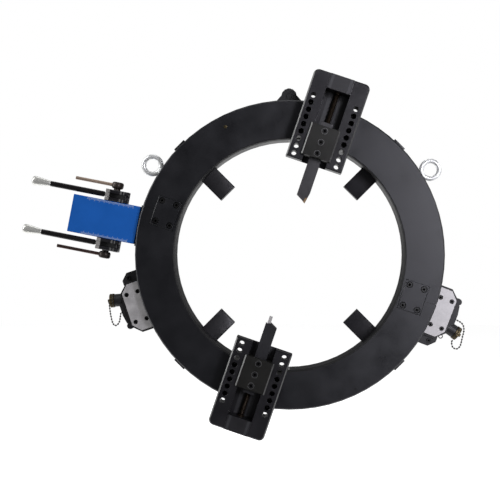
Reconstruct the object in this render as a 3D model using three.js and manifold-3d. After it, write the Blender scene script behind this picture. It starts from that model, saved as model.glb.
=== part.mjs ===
// A split-frame pipe cutting and beveling machine, in millimetres.
// World frame: +X right, +Z up, and the pipe's axis runs along Y with the tools at the -Y side.
// The machine is drawn in its own frame first: x right, y up, z towards the tools, with z = 0 on
// the rotating ring's front face, so everything behind that face has a negative z.
import * as THREE from 'three';
import { mergeVertices } from 'three/addons/utils/BufferGeometryUtils.js';
import Module from 'manifold-3d';

const wasm = await Module();
wasm.setup();

// Clearances
const SEAT_GAP = 0.3;
const RUN_GAP = 0.4;
const OVERRUN = 5;
const WELD_DISTANCE = 0.001;

// Ring, gear and bore
const BORE_RADIUS = 232.5;
const GEAR_MODULE = 5;
const RING_BODY_WIDTH = 67.5;
const PINION_TEETH = 8;
const FLANGE_THICKNESS = 24;
const FLANGE_OVERHANG = 10;
const HUB_DEPTH = 20;
const RING_CHAMFER = 2.5;
const BORE_CHAMFER = 1.5;
const TOOTH_BACKLASH = 0.6;
const RING_ADDENDUM_SHARE = 0.6;
const PINION_ADDENDUM_SHARE = 0.9;
const PINION_DEDENDUM_SHARE = 0.95;
const PRESSURE_ANGLE = degrees(20);
const SPLIT_ANGLE = degrees(161.2);
const RING_SEGMENTS = 72;

// Stationary ring
const INNER_WALL = 5.5;
const OUTER_WALL = 6;
const CAVITY_FLOOR_CLEARANCE = 2;
const TIP_CLEARANCE = 2;
const CHANNEL_WALL = 3.7;

// Bearing rollers
const ROLLER_RADIUS = 9;
const ROLLER_VEE = 3.5;
const ROLLER_WIDTH = 12;
const ROLLER_LAND = 3;
const ROLLER_WALL_CLEARANCE = 2;
const STUD_RADIUS = 5;
const STUD_SHOULDER = 2.5;
const ROLLER_ANGLES = [22.5, 112.5, 202.5, 292.5].map(degrees);

// Hinge and closure
const HINGE_REACH = 10;
const KNUCKLE_RADIUS = 16;
const LOBE_HALF_WIDTH = 30;
const HINGE_PIN_RADIUS = 6;
const HINGE_HEAD_RADIUS = 9;
const HINGE_HEAD_HEIGHT = 3;
const CLOSURE_RADIUS = 6;
const CLOSURE_HEAD_RADIUS = 9;
const CLOSURE_HEAD_LENGTH = 10;
const CLOSURE_WALL = 16;
const CLOSURE_POCKET_LENGTH = 26;
const CLOSURE_POCKET_DEPTH = 34;
const CLOSURE_POCKET_WIDTH = 24;

// Clamping legs
const LEG_ANGLES = [45, 135, 225, 315].map(degrees);
const LEG_WIDTH = 40;
const LEG_THICKNESS = 24;
const LEG_LENGTH = 106.2;
const LEG_CHAMFER = 1.5;
const LEG_REACH = 54.7;
const LEG_SCREW_RADIUS = 6;
const LEG_SCREW_ENGAGEMENT = 56;
const LEG_BORE_END = 27.2;
const LEG_COLLAR_RADIUS = 8.5;
const LEG_COLLAR_LENGTH = 6;
const CAP_WIDTH = 54;
const CAP_DEPTH = 27;
const CAP_THICKNESS = 5;
const CAP_BOSS_WIDTH = 28;
const CAP_BOSS_HEIGHT = 4;
const SOCKET_RADIUS = 3.2;
const SOCKET_DEPTH = 6;

// Lifting eyes
const EYE_ANGLES = { eye_bolt_left: degrees(146.8), eye_bolt_right: degrees(31.0) };
const EYE_RING_RADIUS = 18;
const EYE_BAR_RADIUS = 5;
const EYE_COLLAR_RADIUS = 12.5;
const EYE_COLLAR_HEIGHT = 6;
const EYE_SHANK_RADIUS = 5;
const EYE_SHANK_LENGTH = 17;
const EYE_BOSS_HEIGHT = 2;

// Tool slides
const SLIDE_ANGLES = { upper: degrees(71.2), lower: degrees(251.2) };
const SLIDE_WIDTH = 115;
const SLIDE_LENGTH = 180.5;
const SLIDE_OVERHANG = 49;
const SLIDE_HEIGHT = 42;
const SLIDE_FLOOR = 5;
const SLIDE_CORNER = 11;
const SLIDE_CHAMFER = 2;
const CHANNEL_WIDTH = 49;
const RAIL_HOLES = 9;
const RAIL_HOLE_RADIUS = 5.2;
const RAIL_HOLE_PITCH = 14.8;
const RAIL_HOLE_EDGE = 13.6;
const RAIL_HOLE_START = 10;
const END_PLATE_LENGTH = 30;
const STAR_RADIUS = 20;
const STAR_ROOT_RADIUS = 11;
const STAR_POINTS = 6;
const STAR_THICKNESS = 6;
const STAR_CLEARANCE = 1.5;
const STAR_OUTER_WALL = 5;
const FEED_HEIGHT = 13;
const FEED_RADIUS = 5;
const FEED_JOURNAL_RADIUS = 4;
const FEED_COLLAR_RADIUS = 7.4;
const FEED_COLLAR_LENGTH = 3;
const FEED_START = 12;
const BLOCK_LENGTH = 64;
const BLOCK_CHAMFER = 2.5;
const BLOCK_HEAD_OVERHANG = 5.5;
const BLOCK_HEAD_HEIGHT = 7;
const BLOCK_OFFSETS = { upper: 12.8, lower: 27.3 };
const BIT_WIDTH = 24;
const BIT_THICKNESS = 15;
const BIT_HEIGHT = 20;
const BIT_TAIL = 9;
const CLAMP_SCREW_RADIUS = 6.5;
const CLAMP_SCREW_PITCH = 22.8;
const CLAMP_SCREW_RECESS = 2;
const CLAMP_SCREWS = 3;
const BEVEL_BIT_REACH = 78.3;
const BEVEL_BIT_SLANT = 6.5;
const BEVEL_BIT_RELIEF = 10;
const BEVEL_TIP_LENGTH = 5.2;
const BEVEL_TIP_WIDTH = 4;
const PARTING_BIT_REACH = 68.8;
const PARTING_BLADE_LENGTH = 16;
const PARTING_BLADE_WIDTH = 6.4;
const PARTING_BLADE_OFFSET = 6;
const PARTING_SHOULDER = 5;

// Joint plates across the rotating ring's split
const JOINT_PLATE_LENGTH = 48;
const JOINT_PLATE_WIDTH = 60;
const JOINT_PLATE_THICKNESS = 7;
const JOINT_PLATE_RISE = 2;
const JOINT_PLATE_MARGIN = 4.5;
const JOINT_SCREW_RADIUS = 6.5;
const JOINT_SCREW_RECESS = 4;
const JOINT_SCREW_SPACING = [30, 43];

// Drive units
const DRIVE_ANGLES = { left: degrees(198.8), right: degrees(339.1) };
const PINION_WIDTH = 12.5;
const PINION_SHAFT_RADIUS = 7.5;
const PINION_JOURNAL_RADIUS = 7;
const PINION_JOURNAL_LENGTH = 3;
const PINION_CAVITY_CLEARANCE = 1.2;
const COVER_FRONT = 25;
const COVER_THICKNESS = 5;
const COVER_HALF_LENGTH = 49;
const COVER_FLAT_HALF_LENGTH = 33;
const COVER_REACH = 38;
const COVER_CHAMFER_REACH = 23;
const COVER_SCREW_RADIUS = 4.6;
const COVER_SCREW_RECESS = 2.5;
const COVER_SCREW_HALF_SPACING = 29;
const COVER_SCREW_REACHES = [5.5, 29.4];
const HOUSING_REAR = 84;
const HOUSING_MARGIN = 4;
const HOUSING_REACH = 52;
const HOUSING_TAPER = 3;
const HOUSING_LUG_REACH = 51;
const HOUSING_LUG_OFFSET = 33;
const HOUSING_LUG_RADIUS = 7;
const HOUSING_LOBE_CORNER = 13;
const HOUSING_LOBE_LENGTH = 23;
const HOUSING_LOBE_REACH = 30;
const NECK_OFFSET = 26.3;
const NECK_RADIUS = 13;
const NECK_END = 60;
const NECK_LENGTH = 34;
const NECK_TILT = degrees(14);
const NIPPLE_RADIUS = 8;
const NIPPLE_LENGTH = 6;
const NECK_DEPTH = 50;
const DUST_CAP_RADIUS = 14.3;
const DUST_CAP_LENGTH = 9.5;
const DUST_CAP_FLATS = 16;
const DUST_CAP_EYE_RADIUS = 3.5;
const DUST_CAP_EYE_LENGTH = 4.5;
const MOTOR_FLANGE_HALF = 32;
const MOTOR_FLANGE_THICKNESS = 10;
const MOTOR_FLANGE_CORNER = 8;
const MOTOR_RADIUS = 30;
const MOTOR_LENGTH = 92;
const MOTOR_BELL_RADIUS = 33;
const MOTOR_BELL_LENGTH = 16;
const MOTOR_SOCKET_DEPTH = 10;
const PORT_BLOCK_REACH = 42;
const PORT_BLOCK_WIDTH = 46;
const PORT_BLOCK_LENGTH = 34;
const PORT_BLOCK_START = 26;
const PORT_RADIUS = 7;
const PORT_DEPTH = 10;
const PORT_SPACING = 24;

// Bead chains
const BEAD_RADIUS = 2.1;
const CHAIN_SIDES = 6;

// Trip tower and its levers
const TOWER_ANGLE = degrees(169);
const TOWER_WIDTH = 77;
const TOWER_FRONT = 16;
const TOWER_THICKNESS = 24;
const TOWER_LENGTH = 138.7;
const TOWER_CHAMFER = 1.5;
const TOWER_FOOT_LENGTH = 12;
const TOWER_FOOT_REAR = 72;
const TOWER_GROOVE_DEPTH = 6;
const TOWER_GROOVE_WIDTH = 8;
const PAD_HEIGHT = 2;
const PAD_MARGIN = 3.5;
const TRIP_BLOCK_START = 29.7;
const TRIP_BLOCK_LENGTH = 46;
const TRIP_BLOCK_WIDTH = 23;
const TRIP_BLOCK_FRONT = 14;
const TRIP_BLOCK_THICKNESS = 30;
const TRIP_BLOCK_CHAMFER = 2;
const TRIP_SLOT_WIDTH = 9;
const TRIP_SLOT_DEPTH = 23;
const LEVER_OFFSET = 11.2;
const LEVER_PIVOT = 29;
const LEVER_DEPTH = 24;
const LEVER_PIN_RADIUS = 3;
const LEVER_PIN_LENGTH = 17;
const LEVER_NECK_WIDTH = 8;
const LEVER_ROD_RADIUS = 5.5;
const LEVER_ROD_START = 21;
const LEVER_ROD_LENGTH = 111;
const FINGER_LENGTH = 25;
const FINGER_TIP_RISE = 12.5;
const FINGER_TIP_LENGTH = 5;
const KNOB_LENGTH = 39;
const KNOB_SMALL_RADIUS = 5.6;
const KNOB_LARGE_RADIUS = 9.5;
const KNOB_STUB_RADIUS = 3;
const KNOB_STUB_LENGTH = 10;
const CLAMP_HUB_OFFSET = 28;
const CLAMP_HUB_DEPTH = 38;
const CLAMP_HUB_RADIUS = 12;
const CLAMP_HUB_LENGTH = 14;
const CLAMP_HUB_STANDOFF = 3;
const CLAMP_SHANK_RADIUS = 4;
const CLAMP_SHANK_LENGTH = 6;
const CLAMP_ROD_RADIUS = 3;
const CLAMP_ROD_LENGTHS = { lower: 100, upper: 88 };

// Faces of round pieces
const SMALL_SEGMENTS = 8;
const ROUND_SEGMENTS = 12;
const TURNED_SEGMENTS = 16;

// Radii and depths that follow from the driving sizes
const RING_TEETH = Math.round(2 * (BORE_RADIUS + RING_BODY_WIDTH) / GEAR_MODULE);
const GEAR_RADIUS = GEAR_MODULE * RING_TEETH / 2;
const RING_TIP_RADIUS = GEAR_RADIUS + GEAR_MODULE * RING_ADDENDUM_SHARE;
const RING_ROOT_RADIUS = GEAR_RADIUS - (Math.PI * GEAR_MODULE + TOOTH_BACKLASH) / 4 / Math.tan(PRESSURE_ANGLE);
const PINION_PITCH_RADIUS = GEAR_MODULE * PINION_TEETH / 2;
const PINION_TIP_RADIUS = PINION_PITCH_RADIUS + GEAR_MODULE * PINION_ADDENDUM_SHARE;
const PINION_ROOT_RADIUS = PINION_PITCH_RADIUS - GEAR_MODULE * PINION_DEDENDUM_SHARE;
const PINION_CENTRE_RADIUS = GEAR_RADIUS + PINION_PITCH_RADIUS;
const RING_RADIUS = GEAR_RADIUS + FLANGE_OVERHANG;
const CAVITY_OUTER_RADIUS = RING_TIP_RADIUS + TIP_CLEARANCE;
const DRUM_RADIUS = CAVITY_OUTER_RADIUS + OUTER_WALL;
const CAVITY_INNER_RADIUS = BORE_RADIUS + INNER_WALL;
const ROLLER_CENTRE_RADIUS = CAVITY_INNER_RADIUS + ROLLER_WALL_CLEARANCE + ROLLER_RADIUS + ROLLER_VEE;
const TRACK_RADIUS = ROLLER_CENTRE_RADIUS + ROLLER_RADIUS + RUN_GAP;
const HUB_REAR = FLANGE_THICKNESS + HUB_DEPTH;
const WEB_FRONT = HUB_REAR + CAVITY_FLOOR_CLEARANCE;
const WEB_THICKNESS = LEG_THICKNESS + 2 * (SEAT_GAP + CHANNEL_WALL);
const STATOR_REAR = WEB_FRONT + WEB_THICKNESS;
const LEG_DEPTH = WEB_FRONT + WEB_THICKNESS / 2;
const STATOR_FRONT = FLANGE_THICKNESS + RUN_GAP;
const HOUSING_FRONT = COVER_FRONT + COVER_THICKNESS + SEAT_GAP;
const DRUM_SEAT_RADIUS = (DRUM_RADIUS + SEAT_GAP) / Math.cos(Math.PI / RING_SEGMENTS);
const CLAMPED_RADIUS = BORE_RADIUS - LEG_REACH;
const SLIDE_INNER_RADIUS = BORE_RADIUS - SLIDE_OVERHANG;
const SLIDE_OFFSET = BIT_WIDTH / 2;
const JOINT_PLATE_RADIUS = BORE_RADIUS + JOINT_PLATE_MARGIN + JOINT_PLATE_LENGTH / 2;
const TOWER_SEAT_RADIUS = DRUM_RADIUS + PAD_HEIGHT + SEAT_GAP;
const TOWER_END_RADIUS = TOWER_SEAT_RADIUS + TOWER_LENGTH;
const TRIP_BLOCK_INNER = TOWER_SEAT_RADIUS + TRIP_BLOCK_START;

const FINISHES = {
  black: finish('#202226', 0.5, 0.55),
  ring: finish('#2e2f35', 0.45, 0.6),
  dark: finish('#1b1b1d', 0.6, 0.3),
  steel: finish('#b9bbbf', 0.3, 0.9),
  gear: finish('#8a8c90', 0.35, 0.9),
  cover: finish('#b4b2b0', 0.4, 0.8),
  bronze: finish('#7c5a3a', 0.4, 0.8),
  brass: finish('#8a6a2c', 0.4, 0.8),
  blue: finish('#0f4ba0', 0.45, 0.1),
};

function degrees(angle) {
  return angle * Math.PI / 180;
}

function finish(color, roughness, metalness) {
  return { color, roughness, metalness };
}

// A solid from a closed geometry, turned right side out.
function solid(geometry) {
  const bare = geometry.clone();
  bare.deleteAttribute('normal');
  bare.deleteAttribute('uv');
  const merged = mergeVertices(bare, WELD_DISTANCE);
  const points = merged.getAttribute('position');
  const corners = merged.getIndex().array;
  const triangles = [];
  const [a, b, c] = [new THREE.Vector3(), new THREE.Vector3(), new THREE.Vector3()];
  let volume = 0;
  for (let i = 0; i < corners.length; i += 3) {
    const triangle = corners.slice(i, i + 3);
    if (new Set(triangle).size === 3) {
      triangles.push(...triangle);
      a.fromBufferAttribute(points, triangle[0]);
      b.fromBufferAttribute(points, triangle[1]);
      c.fromBufferAttribute(points, triangle[2]);
      volume += a.dot(b.cross(c));
    }
  }
  if (volume < 0) triangles.reverse();
  return new wasm.Manifold(new wasm.Mesh({
    numProp: 3,
    vertProperties: new Float32Array(points.array),
    triVerts: new Uint32Array(triangles),
  }));
}

function join(first, ...rest) {
  return rest.reduce((whole, piece) => whole.add(piece), first);
}

function cut(first, ...rest) {
  return rest.reduce((whole, piece) => whole.subtract(piece), first);
}

// A mesh of one solid in the given finish.
function part(name, shape, look) {
  const cutMesh = shape.getMesh();
  const geometry = new THREE.BufferGeometry();
  geometry.setAttribute('position', new THREE.BufferAttribute(cutMesh.vertProperties, 3));
  geometry.setIndex(new THREE.BufferAttribute(cutMesh.triVerts, 1));
  geometry.computeVertexNormals();
  const mesh = new THREE.Mesh(geometry, new THREE.MeshStandardMaterial(look));
  mesh.name = name;
  return mesh;
}

function boxGeometry([x0, x1], [y0, y1], [z0, z1]) {
  const geometry = new THREE.BoxGeometry(x1 - x0, y1 - y0, z1 - z0);
  return geometry.translate((x0 + x1) / 2, (y0 + y1) / 2, (z0 + z1) / 2);
}

function box(x, y, z) {
  return solid(boxGeometry(x, y, z));
}

// A box whose four long edges along x are chamfered.
function barAlongX([x0, x1], [y0, y1], [z0, z1], chamfer) {
  const outline = chamferedOutline(y0, y1, z0, z1, chamfer);
  const geometry = new THREE.ExtrudeGeometry(outline, { depth: x1 - x0, bevelEnabled: false });
  const turn = new THREE.Matrix4().set(0, 0, 1, x0, 1, 0, 0, 0, 0, 1, 0, 0, 0, 0, 0, 1);
  return solid(geometry.applyMatrix4(turn));
}

function chamferedOutline(x0, x1, y0, y1, chamfer) {
  return new THREE.Shape([
    new THREE.Vector2(x0 + chamfer, y0),
    new THREE.Vector2(x1 - chamfer, y0),
    new THREE.Vector2(x1, y0 + chamfer),
    new THREE.Vector2(x1, y1 - chamfer),
    new THREE.Vector2(x1 - chamfer, y1),
    new THREE.Vector2(x0 + chamfer, y1),
    new THREE.Vector2(x0, y1 - chamfer),
    new THREE.Vector2(x0, y0 + chamfer),
  ]);
}

// An outline in the xy plane pushed along z.
function slab(outline, z0, z1, curveSegments = 4) {
  const shape = Array.isArray(outline) ? new THREE.Shape(outline.map(([x, y]) => new THREE.Vector2(x, y))) : outline;
  const geometry = new THREE.ExtrudeGeometry(shape, { depth: z1 - z0, bevelEnabled: false, curveSegments });
  return solid(geometry.translate(0, 0, z0));
}

// An outline in the xz plane pushed along y.
function slabAlongY(outline, y0, y1) {
  const shape = new THREE.Shape(outline.map(([x, z]) => new THREE.Vector2(x, z)));
  const geometry = new THREE.ExtrudeGeometry(shape, { depth: y1 - y0, bevelEnabled: false });
  return solid(geometry.rotateX(Math.PI / 2).translate(0, y1, 0));
}

// A profile of [radius, height] pairs turned about the z axis.
function turnedGeometry(profile, segments) {
  const points = profile.map(([radius, height]) => new THREE.Vector2(radius, height));
  return new THREE.LatheGeometry(points, segments).rotateX(Math.PI / 2);
}

function turned(profile, segments = TURNED_SEGMENTS) {
  return solid(turnedGeometry(profile, segments));
}

// The same about the x axis, with heights measured along x and the axis at the given y and z.
function turnedAlongX(profile, y, z, segments = TURNED_SEGMENTS) {
  return solid(turnedGeometry(profile, segments).rotateY(Math.PI / 2).translate(0, y, z));
}

function peg(radius, z0, z1, x = 0, y = 0, segments = ROUND_SEGMENTS) {
  const geometry = new THREE.CylinderGeometry(radius, radius, z1 - z0, segments).rotateX(Math.PI / 2);
  return solid(geometry.translate(x, y, (z0 + z1) / 2));
}

function pegAlongX(radius, x0, x1, y = 0, z = 0, segments = ROUND_SEGMENTS) {
  const geometry = new THREE.CylinderGeometry(radius, radius, x1 - x0, segments).rotateZ(Math.PI / 2);
  return solid(geometry.translate((x0 + x1) / 2, y, z));
}

function pegAlongY(radius, y0, y1, x = 0, z = 0, segments = ROUND_SEGMENTS) {
  const geometry = new THREE.CylinderGeometry(radius, radius, y1 - y0, segments);
  return solid(geometry.translate(x, (y0 + y1) / 2, z));
}

// The radius that a bore's corners need for its flats to clear a pin.
function boreFor(radius, segments = ROUND_SEGMENTS) {
  return (radius + SEAT_GAP) / Math.cos(Math.PI / segments);
}

// A solid turned about the z axis from its own radial frame to its angle.
function turnedTo(shape, angle) {
  return shape.rotate([0, 0, THREE.MathUtils.radToDeg(angle)]);
}

function radialGroup(angle, ...meshes) {
  const group = new THREE.Group();
  group.rotation.z = angle;
  group.add(...meshes);
  return group;
}

function onCircle(radius, angle) {
  return [radius * Math.cos(angle), radius * Math.sin(angle)];
}

function half(span, clearance = 0) {
  return [-span / 2 + clearance, span / 2 - clearance];
}

// Gear teeth

// The ring is close to a rack, so its flanks run straight from the tip to a pointed root.
function ringGearOutline() {
  const halfTooth = (Math.PI * GEAR_MODULE / 2 - TOOTH_BACKLASH / 2) / 2;
  const tip = (halfTooth - (RING_TIP_RADIUS - GEAR_RADIUS) * Math.tan(PRESSURE_ANGLE)) / RING_TIP_RADIUS;
  const points = [];
  for (let tooth = 0; tooth < RING_TEETH; tooth += 1) {
    const centre = ringToothAngle(tooth);
    points.push(onCircle(RING_ROOT_RADIUS, centre - Math.PI / RING_TEETH));
    points.push(onCircle(RING_TIP_RADIUS, centre - tip));
    points.push(onCircle(RING_TIP_RADIUS, centre + tip));
  }
  return points;
}

// The split runs through the space before the first tooth.
function ringToothAngle(tooth) {
  return SPLIT_ANGLE + (tooth + 0.5) * 2 * Math.PI / RING_TEETH;
}

// The pinion's flanks are involutes down to the base circle, and radial below it.
function pinionOutline(firstToothAngle) {
  const baseRadius = PINION_PITCH_RADIUS * Math.cos(PRESSURE_ANGLE);
  const involute = angle => Math.tan(angle) - angle;
  const halfTooth = (Math.PI * GEAR_MODULE / 2 - TOOTH_BACKLASH / 2) / 2 / PINION_PITCH_RADIUS;
  const flank = radius => {
    const pressure = Math.acos(Math.min(1, baseRadius / radius));
    return halfTooth + involute(PRESSURE_ANGLE) - involute(pressure);
  };
  const radii = [PINION_ROOT_RADIUS, PINION_PITCH_RADIUS, PINION_TIP_RADIUS];
  const points = [];
  for (let tooth = 0; tooth < PINION_TEETH; tooth += 1) {
    const centre = firstToothAngle + tooth * 2 * Math.PI / PINION_TEETH;
    radii.forEach(radius => points.push(onCircle(radius, centre - flank(radius))));
    radii.toReversed().forEach(radius => points.push(onCircle(radius, centre + flank(radius))));
  }
  return points;
}

// The pinion turns so that one of its spaces takes the ring tooth nearest the line of centres.
function pinionToothAngle(driveAngle) {
  const pitch = 2 * Math.PI / RING_TEETH;
  const offset = ringToothAngle(0) - driveAngle;
  const nearest = offset - Math.round(offset / pitch) * pitch;
  return Math.PI - nearest * RING_TEETH / PINION_TEETH + Math.PI / PINION_TEETH;
}

// Rotating ring

function rotorBlank() {
  const flange = turned([
    [BORE_RADIUS, -FLANGE_THICKNESS],
    [RING_RADIUS, -FLANGE_THICKNESS],
    [RING_RADIUS, -RING_CHAMFER],
    [RING_RADIUS - RING_CHAMFER, 0],
    [BORE_RADIUS + BORE_CHAMFER, 0],
    [BORE_RADIUS, -BORE_CHAMFER],
    [BORE_RADIUS, -FLANGE_THICKNESS],
  ], RING_SEGMENTS);
  const toothed = slab(ringGearOutline(), -HUB_REAR, -FLANGE_THICKNESS / 2);
  const veeMiddle = -rollerMiddle();
  const veeHalf = ROLLER_WIDTH / 2 - ROLLER_LAND;
  const track = turned([
    [0, -HUB_REAR - OVERRUN],
    [TRACK_RADIUS, -HUB_REAR - OVERRUN],
    [TRACK_RADIUS, veeMiddle - veeHalf],
    [TRACK_RADIUS + ROLLER_VEE, veeMiddle],
    [TRACK_RADIUS, veeMiddle + veeHalf],
    [TRACK_RADIUS, -FLANGE_THICKNESS],
    [0, -FLANGE_THICKNESS],
    [0, -HUB_REAR - OVERRUN],
  ], RING_SEGMENTS);
  const bore = peg(BORE_RADIUS + OVERRUN, -FLANGE_THICKNESS - OVERRUN, -FLANGE_THICKNESS / 2, 0, 0, RING_SEGMENTS);
  return join(flange, cut(toothed, track, bore));
}

function jointPlateSeat(angle) {
  const reach = [JOINT_PLATE_RADIUS - JOINT_PLATE_LENGTH / 2, JOINT_PLATE_RADIUS + JOINT_PLATE_LENGTH / 2];
  const seat = box(
    [reach[0] - SEAT_GAP, reach[1] + SEAT_GAP],
    [-JOINT_PLATE_WIDTH / 2 - SEAT_GAP, JOINT_PLATE_WIDTH / 2 + SEAT_GAP],
    [JOINT_PLATE_RISE - JOINT_PLATE_THICKNESS - SEAT_GAP, OVERRUN],
  );
  return turnedTo(seat, angle);
}

function rotorHalves() {
  const whole = cut(rotorBlank(), jointPlateSeat(SPLIT_ANGLE), jointPlateSeat(SPLIT_ANGLE + Math.PI));
  const reach = RING_RADIUS + OVERRUN;
  return ['rotor_half_upper', 'rotor_half_lower'].map((name, side) => {
    const keep = box([-reach, reach], [SEAT_GAP / 2, reach], [-HUB_REAR - OVERRUN, OVERRUN]);
    return part(name, whole.intersect(turnedTo(keep, SPLIT_ANGLE + (side + 1) * Math.PI)), FINISHES.ring);
  });
}

function jointPlate(name, angle) {
  const length = [JOINT_PLATE_RADIUS - JOINT_PLATE_LENGTH / 2, JOINT_PLATE_RADIUS + JOINT_PLATE_LENGTH / 2];
  const bottom = JOINT_PLATE_RISE - JOINT_PLATE_THICKNESS;
  const plate = box(length, half(JOINT_PLATE_WIDTH), [bottom, JOINT_PLATE_RISE]);
  const holes = [];
  for (const along of half(JOINT_SCREW_SPACING[0])) {
    for (const across of half(JOINT_SCREW_SPACING[1])) {
      const floor = JOINT_PLATE_RISE - JOINT_SCREW_RECESS;
      holes.push(peg(JOINT_SCREW_RADIUS, floor, OVERRUN, JOINT_PLATE_RADIUS + along, across, SMALL_SEGMENTS));
    }
  }
  return radialGroup(angle, part(name, cut(plate, ...holes), FINISHES.dark));
}

// Stationary ring

function rollerMiddle() {
  return (FLANGE_THICKNESS + HUB_REAR) / 2;
}

function drum() {
  return turned([
    [BORE_RADIUS, -STATOR_REAR],
    [DRUM_RADIUS - RING_CHAMFER, -STATOR_REAR],
    [DRUM_RADIUS, -STATOR_REAR + RING_CHAMFER],
    [DRUM_RADIUS, -STATOR_FRONT],
    [CAVITY_OUTER_RADIUS, -STATOR_FRONT],
    [CAVITY_OUTER_RADIUS, -WEB_FRONT],
    [CAVITY_INNER_RADIUS, -WEB_FRONT],
    [CAVITY_INNER_RADIUS, -STATOR_FRONT],
    [BORE_RADIUS, -STATOR_FRONT],
    [BORE_RADIUS, -STATOR_REAR],
  ], RING_SEGMENTS);
}

// The stud that carries a bearing roller, with a shoulder behind the roller.
function rollerStud(angle) {
  const rollerRear = -rollerMiddle() - ROLLER_WIDTH / 2;
  const stud = turned([
    [0, -WEB_FRONT - OVERRUN],
    [STUD_RADIUS + STUD_SHOULDER, -WEB_FRONT - OVERRUN],
    [STUD_RADIUS + STUD_SHOULDER, rollerRear - SEAT_GAP],
    [STUD_RADIUS, rollerRear - SEAT_GAP],
    [STUD_RADIUS, -rollerMiddle() + ROLLER_WIDTH / 2],
    [0, -rollerMiddle() + ROLLER_WIDTH / 2],
  ], SMALL_SEGMENTS);
  const [x, y] = onCircle(ROLLER_CENTRE_RADIUS, angle);
  return stud.translate([x, y, 0]);
}

function legChannel(angle) {
  const channel = box(
    [BORE_RADIUS - OVERRUN, DRUM_RADIUS + OVERRUN],
    [-LEG_WIDTH / 2 - SEAT_GAP, LEG_WIDTH / 2 + SEAT_GAP],
    [-LEG_DEPTH - LEG_THICKNESS / 2 - SEAT_GAP, -LEG_DEPTH + LEG_THICKNESS / 2 + SEAT_GAP],
  );
  return turnedTo(channel, angle);
}

function eyeBoss(angle) {
  const top = DRUM_RADIUS + EYE_BOSS_HEIGHT;
  const start = DRUM_RADIUS - OUTER_WALL;
  return turnedTo(pegAlongX(EYE_COLLAR_RADIUS, start, top, 0, -LEG_DEPTH), angle);
}

function eyeHole(angle) {
  const top = DRUM_RADIUS + EYE_BOSS_HEIGHT;
  const bottom = top - EYE_SHANK_LENGTH - SEAT_GAP;
  return turnedTo(pegAlongX(boreFor(EYE_SHANK_RADIUS), bottom, top + OVERRUN, 0, -LEG_DEPTH), angle);
}

function towerPad() {
  const width = half(TOWER_WIDTH, -PAD_MARGIN);
  const pad = box(
    [DRUM_RADIUS - OUTER_WALL + PAD_HEIGHT, DRUM_RADIUS + PAD_HEIGHT],
    width,
    [-STATOR_REAR + PAD_HEIGHT, -STATOR_FRONT - PAD_HEIGHT],
  );
  return turnedTo(pad, TOWER_ANGLE);
}

function pinionWindow(angle) {
  const [x, y] = onCircle(PINION_CENTRE_RADIUS, angle);
  const radius = PINION_TIP_RADIUS + PINION_CAVITY_CLEARANCE;
  return peg(radius, -WEB_FRONT, OVERRUN, x, y, TURNED_SEGMENTS);
}

// The lobe at the top that holds the hinge, drawn as its outline on one side of the split.
function lobeOutline(side) {
  const pinHeight = DRUM_RADIUS + HINGE_REACH;
  const slope = Math.atan2(pinHeight - DRUM_RADIUS, LOBE_HALF_WIDTH);
  const reach = Math.hypot(LOBE_HALF_WIDTH, pinHeight - DRUM_RADIUS);
  const tangentAngle = Math.PI - slope - Math.acos(KNUCKLE_RADIUS / reach);
  const outline = new THREE.Shape();
  outline.moveTo(0, DRUM_RADIUS - OUTER_WALL);
  outline.lineTo(-LOBE_HALF_WIDTH, DRUM_RADIUS - OUTER_WALL / 2 - LOBE_HALF_WIDTH ** 2 / 2 / DRUM_RADIUS);
  outline.absarc(0, pinHeight, KNUCKLE_RADIUS, tangentAngle, Math.PI / 2, true);
  outline.closePath();
  if (side < 0) return outline;
  const points = outline.getPoints(4).map(point => [-point.x, point.y]);
  return points.toReversed();
}

function lobe(side) {
  return slab(lobeOutline(side), -STATOR_REAR + PAD_HEIGHT, -STATOR_FRONT - PAD_HEIGHT);
}

// The depth bands of the hinge's five knuckles, the odd ones on the left half.
function knuckleBands() {
  const front = -STATOR_FRONT - PAD_HEIGHT;
  const rear = -STATOR_REAR + PAD_HEIGHT;
  const step = (front - rear) / 3;
  return [0, 1, 2].map(band => [rear + band * step, rear + (band + 1) * step]);
}

function knuckle([z0, z1], clearance) {
  const pinHeight = DRUM_RADIUS + HINGE_REACH;
  return peg(KNUCKLE_RADIUS + clearance, z0 - clearance, z1 + clearance, 0, pinHeight);
}

function closureHole() {
  const reach = CLOSURE_WALL + CLOSURE_POCKET_LENGTH;
  return pegAlongX(boreFor(CLOSURE_RADIUS), -reach, reach, closureHeight(), -LEG_DEPTH);
}

function closureHeight() {
  return -DRUM_RADIUS + CLOSURE_POCKET_DEPTH / 2;
}

function closurePocket(side) {
  const inner = side * CLOSURE_WALL;
  const outer = side * (CLOSURE_WALL + CLOSURE_POCKET_LENGTH);
  return box(
    [Math.min(inner, outer), Math.max(inner, outer)],
    [-DRUM_RADIUS - OVERRUN, -DRUM_RADIUS + CLOSURE_POCKET_DEPTH],
    [-LEG_DEPTH - CLOSURE_POCKET_WIDTH / 2, -LEG_DEPTH + CLOSURE_POCKET_WIDTH / 2],
  );
}

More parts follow.
